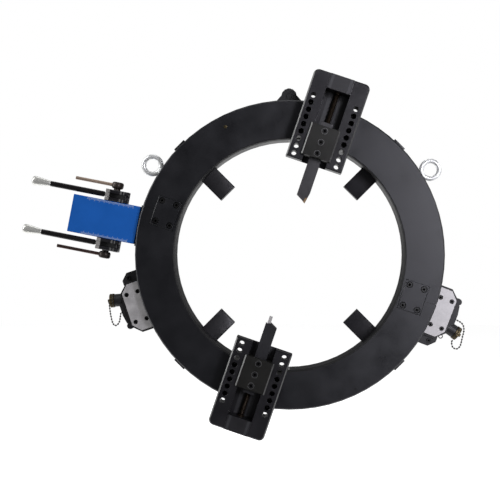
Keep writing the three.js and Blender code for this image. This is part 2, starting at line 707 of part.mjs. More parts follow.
function statorHalf(name, side) {
  const reach = DRUM_RADIUS + HINGE_REACH + KNUCKLE_RADIUS + OVERRUN;
  const near = SEAT_GAP / 2;
  const keep = box(
    side < 0 ? [-reach, -near] : [near, reach],
    [-reach, reach],
    [-STATOR_REAR - OVERRUN, OVERRUN],
  );
  const raised = join(
    drum(),
    ...ROLLER_ANGLES.map(rollerStud),
    ...Object.values(EYE_ANGLES).map(eyeBoss),
    towerPad(),
    lobe(side),
  );
  const bands = knuckleBands();
  const own = bands.filter((band, index) => index % 2 === (side < 0 ? 0 : 1));
  const other = bands.filter((band, index) => index % 2 === (side < 0 ? 1 : 0));
  const pinHeight = DRUM_RADIUS + HINGE_REACH;
  const body = cut(
    raised.intersect(keep),
    ...LEG_ANGLES.map(legChannel),
    ...Object.values(EYE_ANGLES).map(eyeHole),
    ...Object.values(DRIVE_ANGLES).map(pinionWindow),
    closurePocket(side),
    closureHole(),
    ...other.map(band => knuckle(band, SEAT_GAP)),
  );
  const hinged = join(body, ...own.map(band => knuckle(band, 0)));
  const pinHole = peg(boreFor(HINGE_PIN_RADIUS), -STATOR_REAR - OVERRUN, OVERRUN, 0, pinHeight);
  return part(name, cut(hinged, pinHole), FINISHES.black);
}

function hingePin() {
  const rear = -STATOR_REAR + PAD_HEIGHT - SEAT_GAP;
  const pin = turned([
    [0, rear - HINGE_HEAD_HEIGHT],
    [HINGE_HEAD_RADIUS, rear - HINGE_HEAD_HEIGHT],
    [HINGE_HEAD_RADIUS, rear],
    [HINGE_PIN_RADIUS, rear],
    [HINGE_PIN_RADIUS, -STATOR_FRONT - PAD_HEIGHT],
    [0, -STATOR_FRONT - PAD_HEIGHT],
  ], ROUND_SEGMENTS);
  const mesh = part('hinge_pin', pin, FINISHES.steel);
  mesh.position.y = DRUM_RADIUS + HINGE_REACH;
  return mesh;
}

// The bolt that closes the frame at the bottom, with its hexagon nut.
function closureBolt() {
  const inner = CLOSURE_WALL + SEAT_GAP;
  const outer = inner + CLOSURE_HEAD_LENGTH;
  const shank = pegAlongX(CLOSURE_RADIUS, -outer, outer, 0, 0);
  const head = pegAlongX(CLOSURE_HEAD_RADIUS, inner, outer, 0, 0);
  const nut = pegAlongX(CLOSURE_HEAD_RADIUS, -outer, -inner, 0, 0, 6);
  const mesh = part('closure_bolt', join(shank, head, nut), FINISHES.steel);
  mesh.position.set(0, closureHeight(), -LEG_DEPTH);
  return mesh;
}

function roller(index, angle) {
  const rear = -ROLLER_WIDTH / 2;
  const front = ROLLER_WIDTH / 2;
  const vee = ROLLER_WIDTH / 2 - ROLLER_LAND;
  const tyre = turned([
    [0, rear], [ROLLER_RADIUS, rear], [ROLLER_RADIUS, -vee], [ROLLER_RADIUS + ROLLER_VEE, 0],
    [ROLLER_RADIUS, vee], [ROLLER_RADIUS, front], [0, front],
  ], ROUND_SEGMENTS);
  const bore = peg(boreFor(STUD_RADIUS, SMALL_SEGMENTS), rear - OVERRUN, front + OVERRUN, 0, 0, SMALL_SEGMENTS);
  const mesh = part(`roller_${index + 1}`, cut(tyre, bore), FINISHES.steel);
  const [x, y] = onCircle(ROLLER_CENTRE_RADIUS, angle);
  mesh.position.set(x, y, -rollerMiddle());
  return mesh;
}

// Clamping legs

function leg(index) {
  const length = [CLAMPED_RADIUS, CLAMPED_RADIUS + LEG_LENGTH];
  const depth = [-LEG_DEPTH - LEG_THICKNESS / 2, -LEG_DEPTH + LEG_THICKNESS / 2];
  const bar = barAlongX(length, half(LEG_WIDTH), depth, LEG_CHAMFER);
  const radius = boreFor(LEG_SCREW_RADIUS);
  const bore = pegAlongX(radius, CLAMPED_RADIUS + LEG_BORE_END, length[1] + OVERRUN, 0, -LEG_DEPTH);
  return part(`leg_${index + 1}`, cut(bar, bore), FINISHES.dark);
}

function legScrew(index) {
  const inner = CLAMPED_RADIUS + LEG_LENGTH - LEG_SCREW_ENGAGEMENT;
  const capTop = DRUM_RADIUS + CAP_THICKNESS + CAP_BOSS_HEIGHT;
  const outer = capTop - CAP_BOSS_HEIGHT / 2;
  const screw = turnedAlongX([
    [0, inner],
    [LEG_SCREW_RADIUS, inner],
    [LEG_SCREW_RADIUS, DRUM_RADIUS - LEG_COLLAR_LENGTH],
    [LEG_COLLAR_RADIUS, DRUM_RADIUS - LEG_COLLAR_LENGTH],
    [LEG_COLLAR_RADIUS, DRUM_RADIUS],
    [LEG_SCREW_RADIUS, DRUM_RADIUS],
    [LEG_SCREW_RADIUS, outer],
    [0, outer],
  ], 0, -LEG_DEPTH, ROUND_SEGMENTS);
  const socket = pegAlongX(SOCKET_RADIUS, outer - SOCKET_DEPTH, outer + OVERRUN, 0, -LEG_DEPTH, 6);
  return part(`leg_screw_${index + 1}`, cut(screw, socket), FINISHES.steel);
}

function legCap(index) {
  const depth = [-LEG_DEPTH - CAP_DEPTH / 2, -LEG_DEPTH + CAP_DEPTH / 2];
  const plateTop = DRUM_RADIUS + CAP_THICKNESS;
  const bottom = DRUM_RADIUS - CAP_THICKNESS;
  const plate = box([bottom, plateTop], half(CAP_WIDTH), depth);
  const boss = box([bottom, plateTop + CAP_BOSS_HEIGHT], half(CAP_BOSS_WIDTH), depth);
  const drumSpace = peg(DRUM_SEAT_RADIUS, -STATOR_REAR - OVERRUN, OVERRUN, 0, 0, RING_SEGMENTS);
  const hole = pegAlongX(boreFor(LEG_SCREW_RADIUS), bottom, plateTop + CAP_BOSS_HEIGHT + OVERRUN, 0, -LEG_DEPTH);
  return part(`leg_cap_${index + 1}`, cut(join(plate, boss), drumSpace, hole), FINISHES.black);
}

function legUnit(angle, index) {
  return radialGroup(angle, leg(index), legScrew(index), legCap(index));
}

// Lifting eyes

function eyeBolt(name, angle) {
  const seat = DRUM_RADIUS + EYE_BOSS_HEIGHT;
  const collarBottom = seat + SEAT_GAP;
  const collarTop = collarBottom + EYE_COLLAR_HEIGHT;
  const centre = collarTop + EYE_RING_RADIUS;
  const stem = turnedAlongX([
    [0, seat - EYE_SHANK_LENGTH],
    [EYE_SHANK_RADIUS, seat - EYE_SHANK_LENGTH],
    [EYE_SHANK_RADIUS, collarBottom],
    [EYE_COLLAR_RADIUS, collarBottom],
    [EYE_COLLAR_RADIUS, collarBottom + EYE_COLLAR_HEIGHT / 2],
    [EYE_BAR_RADIUS, collarTop],
    [0, collarTop + EYE_BAR_RADIUS / 2],
  ], 0, -LEG_DEPTH, ROUND_SEGMENTS);
  const torus = new THREE.TorusGeometry(EYE_RING_RADIUS, EYE_BAR_RADIUS, SMALL_SEGMENTS, TURNED_SEGMENTS);
  const ring = solid(torus.translate(centre, 0, -LEG_DEPTH));
  return radialGroup(angle, part(name, join(stem, ring), FINISHES.steel));
}

// Tool slides, each drawn with x outwards along the slide and y across it

function slideOutline(inset) {
  const x0 = SLIDE_INNER_RADIUS + inset;
  const x1 = SLIDE_INNER_RADIUS + SLIDE_LENGTH - inset;
  const y1 = SLIDE_WIDTH / 2 - inset;
  const corner = SLIDE_CORNER - inset;
  const outline = new THREE.Shape();
  outline.moveTo(x0, -y1);
  outline.lineTo(x1 - corner, -y1);
  outline.absarc(x1 - corner, -y1 + corner, corner, -Math.PI / 2, 0, false);
  outline.lineTo(x1, y1 - corner);
  outline.absarc(x1 - corner, y1 - corner, corner, 0, Math.PI / 2, false);
  outline.lineTo(x0, y1);
  outline.closePath();
  return outline;
}

function slideBase(name) {
  const bottom = SEAT_GAP;
  const top = bottom + SLIDE_HEIGHT;
  const shape = new THREE.ExtrudeGeometry(slideOutline(SLIDE_CHAMFER), {
    depth: SLIDE_HEIGHT - 2 * SLIDE_CHAMFER,
    bevelThickness: SLIDE_CHAMFER,
    bevelSize: SLIDE_CHAMFER,
    bevelSegments: 1,
    curveSegments: 4,
  });
  const blank = solid(shape.translate(0, 0, bottom + SLIDE_CHAMFER));
  const inner = SLIDE_INNER_RADIUS;
  const outer = inner + SLIDE_LENGTH;
  const channel = box([inner - OVERRUN, outer + OVERRUN], half(CHANNEL_WIDTH), [bottom + SLIDE_FLOOR, top + OVERRUN]);
  const endSpace = box([outer - END_PLATE_LENGTH, outer + OVERRUN], half(CHANNEL_WIDTH), [bottom - OVERRUN, top]);
  const holes = [];
  for (let hole = 0; hole < RAIL_HOLES; hole += 1) {
    const along = inner + RAIL_HOLE_START + hole * RAIL_HOLE_PITCH;
    for (const across of half(SLIDE_WIDTH, RAIL_HOLE_EDGE)) {
      holes.push(peg(RAIL_HOLE_RADIUS, bottom - OVERRUN, top + OVERRUN, along, across, SMALL_SEGMENTS));
    }
  }
  return part(name, cut(blank, channel, endSpace, ...holes), FINISHES.black);
}

// The bearing block that closes the slide's outer end, open behind for the star wheel.
function slideEndPlate(name) {
  const outer = SLIDE_INNER_RADIUS + SLIDE_LENGTH;
  const inner = outer - END_PLATE_LENGTH + SEAT_GAP;
  const top = SEAT_GAP + SLIDE_HEIGHT;
  const plate = barAlongX([inner, outer], half(CHANNEL_WIDTH, SEAT_GAP), [SEAT_GAP, top], SLIDE_CHAMFER / 2);
  const star = starSpan();
  const starReach = STAR_RADIUS + STAR_CLEARANCE;
  const pocket = box(
    [star[0] - STAR_CLEARANCE, star[1] + STAR_CLEARANCE],
    [-starReach, starReach],
    [-OVERRUN, FEED_HEIGHT + starReach],
  );
  const screwHole = pegAlongX(boreFor(FEED_RADIUS), inner - OVERRUN, star[0], 0, FEED_HEIGHT);
  const journalHole = pegAlongX(boreFor(FEED_JOURNAL_RADIUS), star[0], outer + OVERRUN, 0, FEED_HEIGHT);
  return part(name, cut(plate, pocket, screwHole, journalHole), FINISHES.ring);
}

function starSpan() {
  const end = SLIDE_INNER_RADIUS + SLIDE_LENGTH - STAR_OUTER_WALL - STAR_CLEARANCE;
  return [end - STAR_THICKNESS, end];
}

function feedScrew(name) {
  const inner = SLIDE_INNER_RADIUS + FEED_START;
  const outer = SLIDE_INNER_RADIUS + SLIDE_LENGTH;
  const plate = outer - END_PLATE_LENGTH;
  const star = starSpan();
  const screw = turnedAlongX([
    [0, inner],
    [FEED_RADIUS, inner],
    [FEED_RADIUS, plate - FEED_COLLAR_LENGTH],
    [FEED_COLLAR_RADIUS, plate - FEED_COLLAR_LENGTH],
    [FEED_COLLAR_RADIUS, plate],
    [FEED_RADIUS, plate],
    [FEED_RADIUS, star[0] - SEAT_GAP],
    [FEED_JOURNAL_RADIUS, star[0] - SEAT_GAP],
    [FEED_JOURNAL_RADIUS, outer],
    [0, outer],
  ], 0, FEED_HEIGHT, ROUND_SEGMENTS);
  return part(name, screw, FINISHES.bronze);
}

function starWheel(name) {
  const outline = [];
  for (let corner = 0; corner < 2 * STAR_POINTS; corner += 1) {
    const radius = corner % 2 ? STAR_ROOT_RADIUS : STAR_RADIUS;
    outline.push(onCircle(radius, corner * Math.PI / STAR_POINTS));
  }
  const bore = peg(boreFor(FEED_JOURNAL_RADIUS), -OVERRUN, STAR_THICKNESS + OVERRUN);
  const mesh = part(name, cut(slab(outline, 0, STAR_THICKNESS), bore), FINISHES.steel);
  mesh.rotation.y = Math.PI / 2;
  mesh.position.set(starSpan()[0], 0, FEED_HEIGHT);
  return mesh;
}

// The block slides in the channel, and its wider head rides on the rails' faces.
function toolBlock(name, offset) {
  const inner = SLIDE_INNER_RADIUS + offset;
  const outer = inner + BLOCK_LENGTH;
  const bottom = SEAT_GAP + SLIDE_FLOOR + SEAT_GAP;
  const railTop = SEAT_GAP + SLIDE_HEIGHT;
  const top = railTop + SEAT_GAP + BLOCK_HEAD_HEIGHT;
  const body = box([inner, outer], half(CHANNEL_WIDTH, SEAT_GAP), [bottom, top - BLOCK_CHAMFER]);
  const headWidth = half(CHANNEL_WIDTH, -BLOCK_HEAD_OVERHANG);
  const head = barAlongX([inner, outer], headWidth, [railTop + SEAT_GAP - BLOCK_CHAMFER, top], BLOCK_CHAMFER);
  const railSpaces = [-1, 1].map(side => {
    const wall = side * (CHANNEL_WIDTH / 2 - SEAT_GAP);
    const edge = side * SLIDE_WIDTH / 2;
    return box([inner - OVERRUN, outer + OVERRUN], side < 0 ? [edge, wall] : [wall, edge], [bottom, railTop + SEAT_GAP]);
  });
  const span = [inner - OVERRUN, outer + OVERRUN];
  const screwHole = pegAlongX(boreFor(FEED_RADIUS), ...span, 0, FEED_HEIGHT);
  const bitSlot = box(span, half(BIT_WIDTH, -SEAT_GAP), [BIT_HEIGHT - SEAT_GAP, BIT_HEIGHT + BIT_THICKNESS + SEAT_GAP]);
  const middle = (inner + outer) / 2;
  const recesses = [];
  for (let screw = 0; screw < CLAMP_SCREWS; screw += 1) {
    const along = middle + (screw - (CLAMP_SCREWS - 1) / 2) * CLAMP_SCREW_PITCH;
    recesses.push(peg(CLAMP_SCREW_RADIUS, top - CLAMP_SCREW_RECESS, top + OVERRUN, along, 0));
  }
  return part(name, cut(join(body, head), ...railSpaces, screwHole, bitSlot, ...recesses), FINISHES.dark);
}

// The upper tool bevels with its slanted end, the lower one parts with a narrow blade.
function bevelBitOutline(inner, outer) {
  const side = BIT_WIDTH / 2;
  const slantEnd = inner - BEVEL_BIT_SLANT;
  return [
    [outer, -side],
    [outer, side],
    [inner, side],
    [slantEnd, 0],
    [slantEnd - BEVEL_TIP_LENGTH, -side + BEVEL_TIP_WIDTH],
    [inner, -side + BEVEL_TIP_WIDTH / 2],
    [inner + BEVEL_BIT_RELIEF, -side],
  ];
}

function partingBitOutline(inner, outer) {
  const side = BIT_WIDTH / 2;
  const blade = half(PARTING_BLADE_WIDTH).map(edge => edge - PARTING_BLADE_OFFSET);
  return [
    [outer, -side],
    [outer, side],
    [inner + PARTING_SHOULDER / 2, side],
    [inner - PARTING_SHOULDER, blade[1]],
    [inner - PARTING_BLADE_LENGTH, blade[1]],
    [inner - PARTING_BLADE_LENGTH, blade[0]],
    [inner, blade[0]],
    [inner - PARTING_SHOULDER / 2, -side],
  ];
}

function toolBit(name, outline) {
  return part(name, slab(outline, BIT_HEIGHT, BIT_HEIGHT + BIT_THICKNESS), FINISHES.gear);
}

// Each slide stands beside the radial line that its bit's cutting face lies on.
function slideUnit(side) {
  const offset = BLOCK_OFFSETS[side];
  const blockInner = SLIDE_INNER_RADIUS + offset;
  const bitOuter = blockInner + BLOCK_LENGTH + BIT_TAIL;
  const outline = side === 'upper'
    ? bevelBitOutline(blockInner - BEVEL_BIT_REACH, bitOuter)
    : partingBitOutline(blockInner - PARTING_BIT_REACH, bitOuter);
  const unit = new THREE.Group();
  unit.position.y = SLIDE_OFFSET;
  unit.add(
    slideBase(`slide_base_${side}`),
    slideEndPlate(`slide_end_plate_${side}`),
    feedScrew(`feed_screw_${side}`),
    starWheel(`star_wheel_${side}`),
    toolBlock(`tool_block_${side}`, offset),
    toolBit(`tool_bit_${side}`, outline),
  );
  return radialGroup(SLIDE_ANGLES[side], unit);
}

// Drive units, each drawn with x outwards and y around the ring

function pinion(name, angle) {
  const front = -HOUSING_FRONT;
  const teeth = slab(pinionOutline(pinionToothAngle(angle)), front - SEAT_GAP - PINION_WIDTH, front - SEAT_GAP);
  const journal = peg(PINION_JOURNAL_RADIUS, front - 2 * SEAT_GAP, front + PINION_JOURNAL_LENGTH);
  const shaftEnd = -HOUSING_REAR - MOTOR_SOCKET_DEPTH;
  const shaft = peg(PINION_SHAFT_RADIUS, shaftEnd, front - PINION_WIDTH / 2);
  const mesh = part(name, join(teeth, journal, shaft), FINISHES.gear);
  mesh.position.x = PINION_CENTRE_RADIUS;
  return mesh;
}

function coverOutline(margin = 0) {
  const long = COVER_HALF_LENGTH + margin;
  const flat = COVER_FLAT_HALF_LENGTH + margin / 2;
  return [
    [RING_RADIUS - FLANGE_OVERHANG, -long],
    [RING_RADIUS + COVER_CHAMFER_REACH, -long],
    [RING_RADIUS + COVER_REACH + margin, -flat],
    [RING_RADIUS + COVER_REACH + margin, flat],
    [RING_RADIUS + COVER_CHAMFER_REACH, long],
    [RING_RADIUS - FLANGE_OVERHANG, long],
  ];
}

function driveCover(name) {
  const front = -COVER_FRONT;
  const rear = front - COVER_THICKNESS;
  const drumSpace = peg(DRUM_SEAT_RADIUS, rear - OVERRUN, front + OVERRUN, 0, 0, RING_SEGMENTS);
  const journalSpace = peg(
    boreFor(PINION_JOURNAL_RADIUS), rear - OVERRUN, -HOUSING_FRONT + PINION_JOURNAL_LENGTH + SEAT_GAP,
    PINION_CENTRE_RADIUS,
  );
  const recesses = [];
  for (const reach of COVER_SCREW_REACHES) {
    for (const across of [-COVER_SCREW_HALF_SPACING, COVER_SCREW_HALF_SPACING]) {
      const floor = front - COVER_SCREW_RECESS;
      recesses.push(peg(COVER_SCREW_RADIUS, floor, front + OVERRUN, RING_RADIUS + reach, across, SMALL_SEGMENTS));
    }
  }
  return part(name, cut(slab(coverOutline(), rear, front), drumSpace, journalSpace, ...recesses), FINISHES.cover);
}

function driveHousing(name) {
  const front = -HOUSING_FRONT;
  const rear = -HOUSING_REAR;
  const shell = slab(coverOutline(HOUSING_MARGIN), rear, front);
  const spine = slab([
    [RING_RADIUS, -NECK_OFFSET - NECK_RADIUS - HOUSING_MARGIN],
    [RING_RADIUS + HOUSING_REACH, -NECK_OFFSET / 2],
    [RING_RADIUS + HOUSING_REACH, HOUSING_LUG_OFFSET / 4],
    [RING_RADIUS + HOUSING_REACH - HOUSING_TAPER, NECK_OFFSET],
    [RING_RADIUS, COVER_HALF_LENGTH],
  ], rear, front - COVER_THICKNESS);
  const lugCentre = RING_RADIUS + HOUSING_LUG_REACH - HOUSING_LUG_RADIUS;
  const lug = peg(HOUSING_LUG_RADIUS, rear, front - COVER_THICKNESS, lugCentre, HOUSING_LUG_OFFSET);
  const lobeEnd = COVER_HALF_LENGTH + HOUSING_LOBE_LENGTH;
  const lobeOutline = chamferedOutline(
    RING_RADIUS - FLANGE_OVERHANG - HOUSING_LOBE_CORNER, RING_RADIUS + HOUSING_LOBE_REACH,
    -lobeEnd, -COVER_HALF_LENGTH + HOUSING_LOBE_CORNER, HOUSING_LOBE_CORNER,
  );
  const lobe = slab(lobeOutline, rear, front - COVER_THICKNESS);
  const neck = turnedOnNeck([
    [0, -NECK_LENGTH],
    [NECK_RADIUS, -NECK_LENGTH],
    [NECK_RADIUS, 0],
    [NIPPLE_RADIUS, 0],
    [NIPPLE_RADIUS, NIPPLE_LENGTH],
    [0, NIPPLE_LENGTH],
  ], ROUND_SEGMENTS);
  const drumSpace = peg(DRUM_SEAT_RADIUS, rear - OVERRUN, front + OVERRUN, 0, 0, RING_SEGMENTS);
  const teethRear = front - SEAT_GAP - PINION_WIDTH - PINION_CAVITY_CLEARANCE;
  const cavity = peg(
    PINION_TIP_RADIUS + PINION_CAVITY_CLEARANCE, teethRear, front + OVERRUN, PINION_CENTRE_RADIUS, 0,
    TURNED_SEGMENTS,
  );
  const bore = peg(boreFor(PINION_SHAFT_RADIUS), rear - OVERRUN, front, PINION_CENTRE_RADIUS);
  return part(name, cut(join(shell, spine, lug, lobe, neck), drumSpace, cavity, bore), FINISHES.black);
}

function motor(name) {
  const front = -HOUSING_REAR - SEAT_GAP;
  const flangeRear = front - MOTOR_FLANGE_THICKNESS;
  const bodyRear = flangeRear - MOTOR_LENGTH;
  const flange = slab(
    chamferedOutline(-MOTOR_FLANGE_HALF, MOTOR_FLANGE_HALF, -MOTOR_FLANGE_HALF, MOTOR_FLANGE_HALF, MOTOR_FLANGE_CORNER),
    flangeRear, front,
  );
  const body = turned([
    [0, bodyRear - MOTOR_BELL_LENGTH],
    [MOTOR_BELL_RADIUS - RING_CHAMFER, bodyRear - MOTOR_BELL_LENGTH],
    [MOTOR_BELL_RADIUS, bodyRear - MOTOR_BELL_LENGTH + RING_CHAMFER],
    [MOTOR_BELL_RADIUS, bodyRear],
    [MOTOR_RADIUS, bodyRear],
    [MOTOR_RADIUS, flangeRear + OVERRUN],
    [0, flangeRear + OVERRUN],
  ]);
  const blockFront = flangeRear - PORT_BLOCK_START;
  const blockRear = blockFront - PORT_BLOCK_LENGTH;
  const ports = box([0, PORT_BLOCK_REACH], half(PORT_BLOCK_WIDTH), [blockRear, blockFront]);
  const portDepth = (blockFront + blockRear) / 2;
  const holes = half(PORT_SPACING).map(across => (
    pegAlongX(PORT_RADIUS, PORT_BLOCK_REACH - PORT_DEPTH, PORT_BLOCK_REACH + OVERRUN, across, portDepth, SMALL_SEGMENTS)
  ));
  const socket = peg(boreFor(PINION_SHAFT_RADIUS), front - MOTOR_SOCKET_DEPTH, front + OVERRUN);
  const mesh = part(name, cut(join(flange, body, ports), socket, ...holes), FINISHES.dark);
  mesh.position.x = PINION_CENTRE_RADIUS;
  return mesh;
}

function dustCap(name) {
  const end = SEAT_GAP + DUST_CAP_LENGTH;
  const shell = turnedOnNeck([
    [0, SEAT_GAP],
    [DUST_CAP_RADIUS, SEAT_GAP],
    [DUST_CAP_RADIUS, end],
    [DUST_CAP_EYE_RADIUS, end],
    [DUST_CAP_EYE_RADIUS, end + DUST_CAP_EYE_LENGTH],
    [0, end + DUST_CAP_EYE_LENGTH],
  ], DUST_CAP_FLATS);
  const boreRadius = boreFor(NIPPLE_RADIUS);
  const bore = turnedOnNeck([
    [0, -OVERRUN],
    [boreRadius, -OVERRUN],
    [boreRadius, NIPPLE_LENGTH + SEAT_GAP],
    [0, NIPPLE_LENGTH + SEAT_GAP],
  ], ROUND_SEGMENTS);
  return part(name, cut(shell, bore), FINISHES.bronze);
}

// A profile turned about the neck's leaning axis, with lengths from the neck's end.
function turnedOnNeck(profile, segments) {
  const geometry = turnedGeometry(profile, segments).rotateY(Math.PI / 2).rotateZ(-NECK_TILT);
  return solid(geometry.translate(RING_RADIUS + NECK_END, -NECK_OFFSET, -NECK_DEPTH));
}

// Each bead chain hangs in a loop from its housing's outer face to its dust cap. Its points are
// distances outwards from that face and around the ring from the neck's end.
const CHAIN_ROUTES = {
  right: [
    [0.4, 23.6], [5.5, 23.6], [12.5, 22.6], [18.5, 20], [22.6, 15.3], [25.2, 9.6], [26.4, 3.8],
    [26.9, -1.7], [27.6, -6.7], [28.4, -11.7], [29, -16.7], [29.4, -22.2], [27.9, -27.7],
    [24.5, -31.3], [19.5, -31.7], [14.8, -29.3],
  ],
  left: [
    [0.4, 28.3], [4.2, 28.4], [8.2, 35], [11.7, 42.1], [15.8, 46.8], [20, 49.2], [24, 49.2],
    [26.4, 46.3], [27.3, 41.9], [27.3, 36.9], [26.7, 31.4], [26, 25.8], [25.2, 20.4],
  ],
};

// The chain's last points, as distances along the neck's axis from its end and across that axis.
const CHAIN_LEAD = 5;
const CHAIN_ENDS = {
  right: [DUST_CAP_LENGTH - BEAD_RADIUS, -DUST_CAP_RADIUS - SEAT_GAP, -CHAIN_LEAD],
  left: [DUST_CAP_LENGTH + BEAD_RADIUS + 2 * SEAT_GAP, DUST_CAP_EYE_RADIUS + SEAT_GAP, CHAIN_LEAD + DUST_CAP_EYE_RADIUS],
};

function besideCap(along, across) {
  return [
    RING_RADIUS + NECK_END + along * Math.cos(NECK_TILT) + across * Math.sin(NECK_TILT),
    -NECK_OFFSET - along * Math.sin(NECK_TILT) + across * Math.cos(NECK_TILT),
  ];
}

// The chain as a plain round cord through its route's points.
function chainCord(side) {
  const face = RING_RADIUS + HOUSING_REACH;
  const [along, across, lead] = CHAIN_ENDS[side];
  const route = [
    ...CHAIN_ROUTES[side].map(([out, around]) => [face + out, around - NECK_OFFSET]),
    besideCap(along, across + lead),
    besideCap(along, across),
  ];
  const points = route.map(([x, y]) => new THREE.Vector3(x, y, -NECK_DEPTH));
  const outline = new THREE.Shape();
  outline.absarc(0, 0, BEAD_RADIUS, 0, 2 * Math.PI, false);
  const geometry = new THREE.ExtrudeGeometry(outline, {
    steps: route.length,
    curveSegments: CHAIN_SIDES / 2,
    extrudePath: new THREE.CatmullRomCurve3(points),
  });
  return solid(geometry);
}

function beadChain(side) {
  return part(`bead_chain_${side}`, chainCord(side), FINISHES.steel);
}

function driveUnit(side) {
  const angle = DRIVE_ANGLES[side];
  return radialGroup(
    angle,
    driveHousing(`drive_housing_${side}`),
    driveCover(`drive_cover_${side}`),
    pinion(`pinion_${side}`, angle),
    motor(`motor_${side}`),
    dustCap(`dust_cap_${side}`),
    beadChain(side),
  );
}

// Trip tower, drawn with x outwards along it and y across it

function tripTower() {
  const seat = TOWER_SEAT_RADIUS;
  const front = -TOWER_FRONT;
  const rear = front - TOWER_THICKNESS;
  const plate = barAlongX([seat, TOWER_END_RADIUS], half(TOWER_WIDTH), [rear, front], TOWER_CHAMFER);
  const foot = barAlongX([seat, seat + TOWER_FOOT_LENGTH], half(TOWER_WIDTH), [-TOWER_FOOT_REAR, front], TOWER_CHAMFER);
  const grooveStart = seat + TOWER_FOOT_LENGTH / 2;
  const grooveMiddle = (front + rear) / 2;
  const grooves = [-1, 1].map(side => {
    const edge = side * TOWER_WIDTH / 2;
    const floor = side * (TOWER_WIDTH / 2 - TOWER_GROOVE_DEPTH);
    return box(
      [grooveStart, TOWER_END_RADIUS + OVERRUN],
      side < 0 ? [edge - OVERRUN, floor] : [floor, edge + OVERRUN],
      [grooveMiddle - TOWER_GROOVE_WIDTH / 2, grooveMiddle + TOWER_GROOVE_WIDTH / 2],
    );
  });
  return part('trip_tower', cut(join(plate, foot), ...grooves), FINISHES.blue);
}

// The trip pieces are drawn for the side of positive y, and mirrored for the other.
function tripPieces(side, sign) {
  const face = TOWER_WIDTH / 2 + SEAT_GAP;
  const lever = face + LEVER_OFFSET;
  const hub = face + TRIP_BLOCK_WIDTH;
  const mirrored = shape => (sign < 0 ? shape.mirror([0, 1, 0]) : shape);
  return [
    part(`trip_block_${side}`, mirrored(tripBlock(face, lever, hub)), FINISHES.dark),
    part(`trip_lever_${side}`, mirrored(tripLever(lever)), FINISHES.dark),
    part(`lever_knob_${side}`, mirrored(leverKnob(lever)), FINISHES.steel),
    part(`clamp_lever_${side}`, mirrored(clampLever(hub, CLAMP_ROD_LENGTHS[side])), FINISHES.bronze),
  ];
}

function tripBlock(face, lever, outerFace) {
  const length = [TRIP_BLOCK_INNER, TRIP_BLOCK_INNER + TRIP_BLOCK_LENGTH];
  const depth = [-TRIP_BLOCK_FRONT - TRIP_BLOCK_THICKNESS, -TRIP_BLOCK_FRONT];
  const body = barAlongX(length, [face, outerFace], depth, TRIP_BLOCK_CHAMFER);
  const grooveMiddle = -TOWER_FRONT - TOWER_THICKNESS / 2;
  const tongue = box(
    length,
    [face - SEAT_GAP - TOWER_GROOVE_DEPTH + SEAT_GAP, face + TRIP_BLOCK_CHAMFER],
    [grooveMiddle - TOWER_GROOVE_WIDTH / 2 + SEAT_GAP, grooveMiddle + TOWER_GROOVE_WIDTH / 2 - SEAT_GAP],
  );
  const slot = box(
    [length[0] - OVERRUN, length[1] + OVERRUN],
    [lever - TRIP_SLOT_WIDTH / 2, lever + TRIP_SLOT_WIDTH / 2],
    [-TRIP_BLOCK_FRONT - TRIP_SLOT_DEPTH, OVERRUN],
  );
  const pinHalf = LEVER_PIN_LENGTH / 2 + SEAT_GAP;
  const pinHole = pegAlongY(
    boreFor(LEVER_PIN_RADIUS), lever - pinHalf, lever + pinHalf, TRIP_BLOCK_INNER + LEVER_PIVOT, -LEVER_DEPTH,
  );
  const shankHole = pegAlongY(
    boreFor(CLAMP_SHANK_RADIUS), outerFace - CLAMP_SHANK_LENGTH - SEAT_GAP, outerFace + OVERRUN,
    TRIP_BLOCK_INNER + CLAMP_HUB_OFFSET, -CLAMP_HUB_DEPTH,
  );
  return cut(join(body, tongue), slot, pinHole, shankHole);
}

// The lever's finger points inwards to the star wheels' path and its rod outwards to the knob.
function tripLever(lever) {
  const pivot = TRIP_BLOCK_INNER + LEVER_PIVOT;
  const tip = pivot - FINGER_LENGTH;
  const rodStart = pivot + LEVER_ROD_START;
  const rodEnd = rodStart + LEVER_ROD_LENGTH;
  const axis = -LEVER_DEPTH;
  const web = slabAlongY([
    [tip, axis + FINGER_TIP_RISE - LEVER_PIN_RADIUS],
    [tip + FINGER_TIP_LENGTH, axis + FINGER_TIP_RISE],
    [pivot, axis + LEVER_ROD_RADIUS],
    [rodStart + LEVER_PIN_RADIUS, axis + LEVER_ROD_RADIUS],
    [rodStart + LEVER_PIN_RADIUS, axis - LEVER_ROD_RADIUS],
    [pivot, axis - LEVER_ROD_RADIUS],
    [tip, axis + LEVER_PIN_RADIUS / 2],
  ].toReversed(), lever - LEVER_NECK_WIDTH / 2, lever + LEVER_NECK_WIDTH / 2);
  const pin = pegAlongY(LEVER_PIN_RADIUS, lever - LEVER_PIN_LENGTH / 2, lever + LEVER_PIN_LENGTH / 2, pivot, axis);
  const rod = turnedAlongX([
    [0, rodStart],
    [LEVER_ROD_RADIUS, rodStart],
    [LEVER_ROD_RADIUS, rodEnd],
    [KNOB_STUB_RADIUS, rodEnd],
    [KNOB_STUB_RADIUS, rodEnd + KNOB_STUB_LENGTH],
    [0, rodEnd + KNOB_STUB_LENGTH],
  ], lever, axis, ROUND_SEGMENTS);
  return join(web, pin, rod);
}

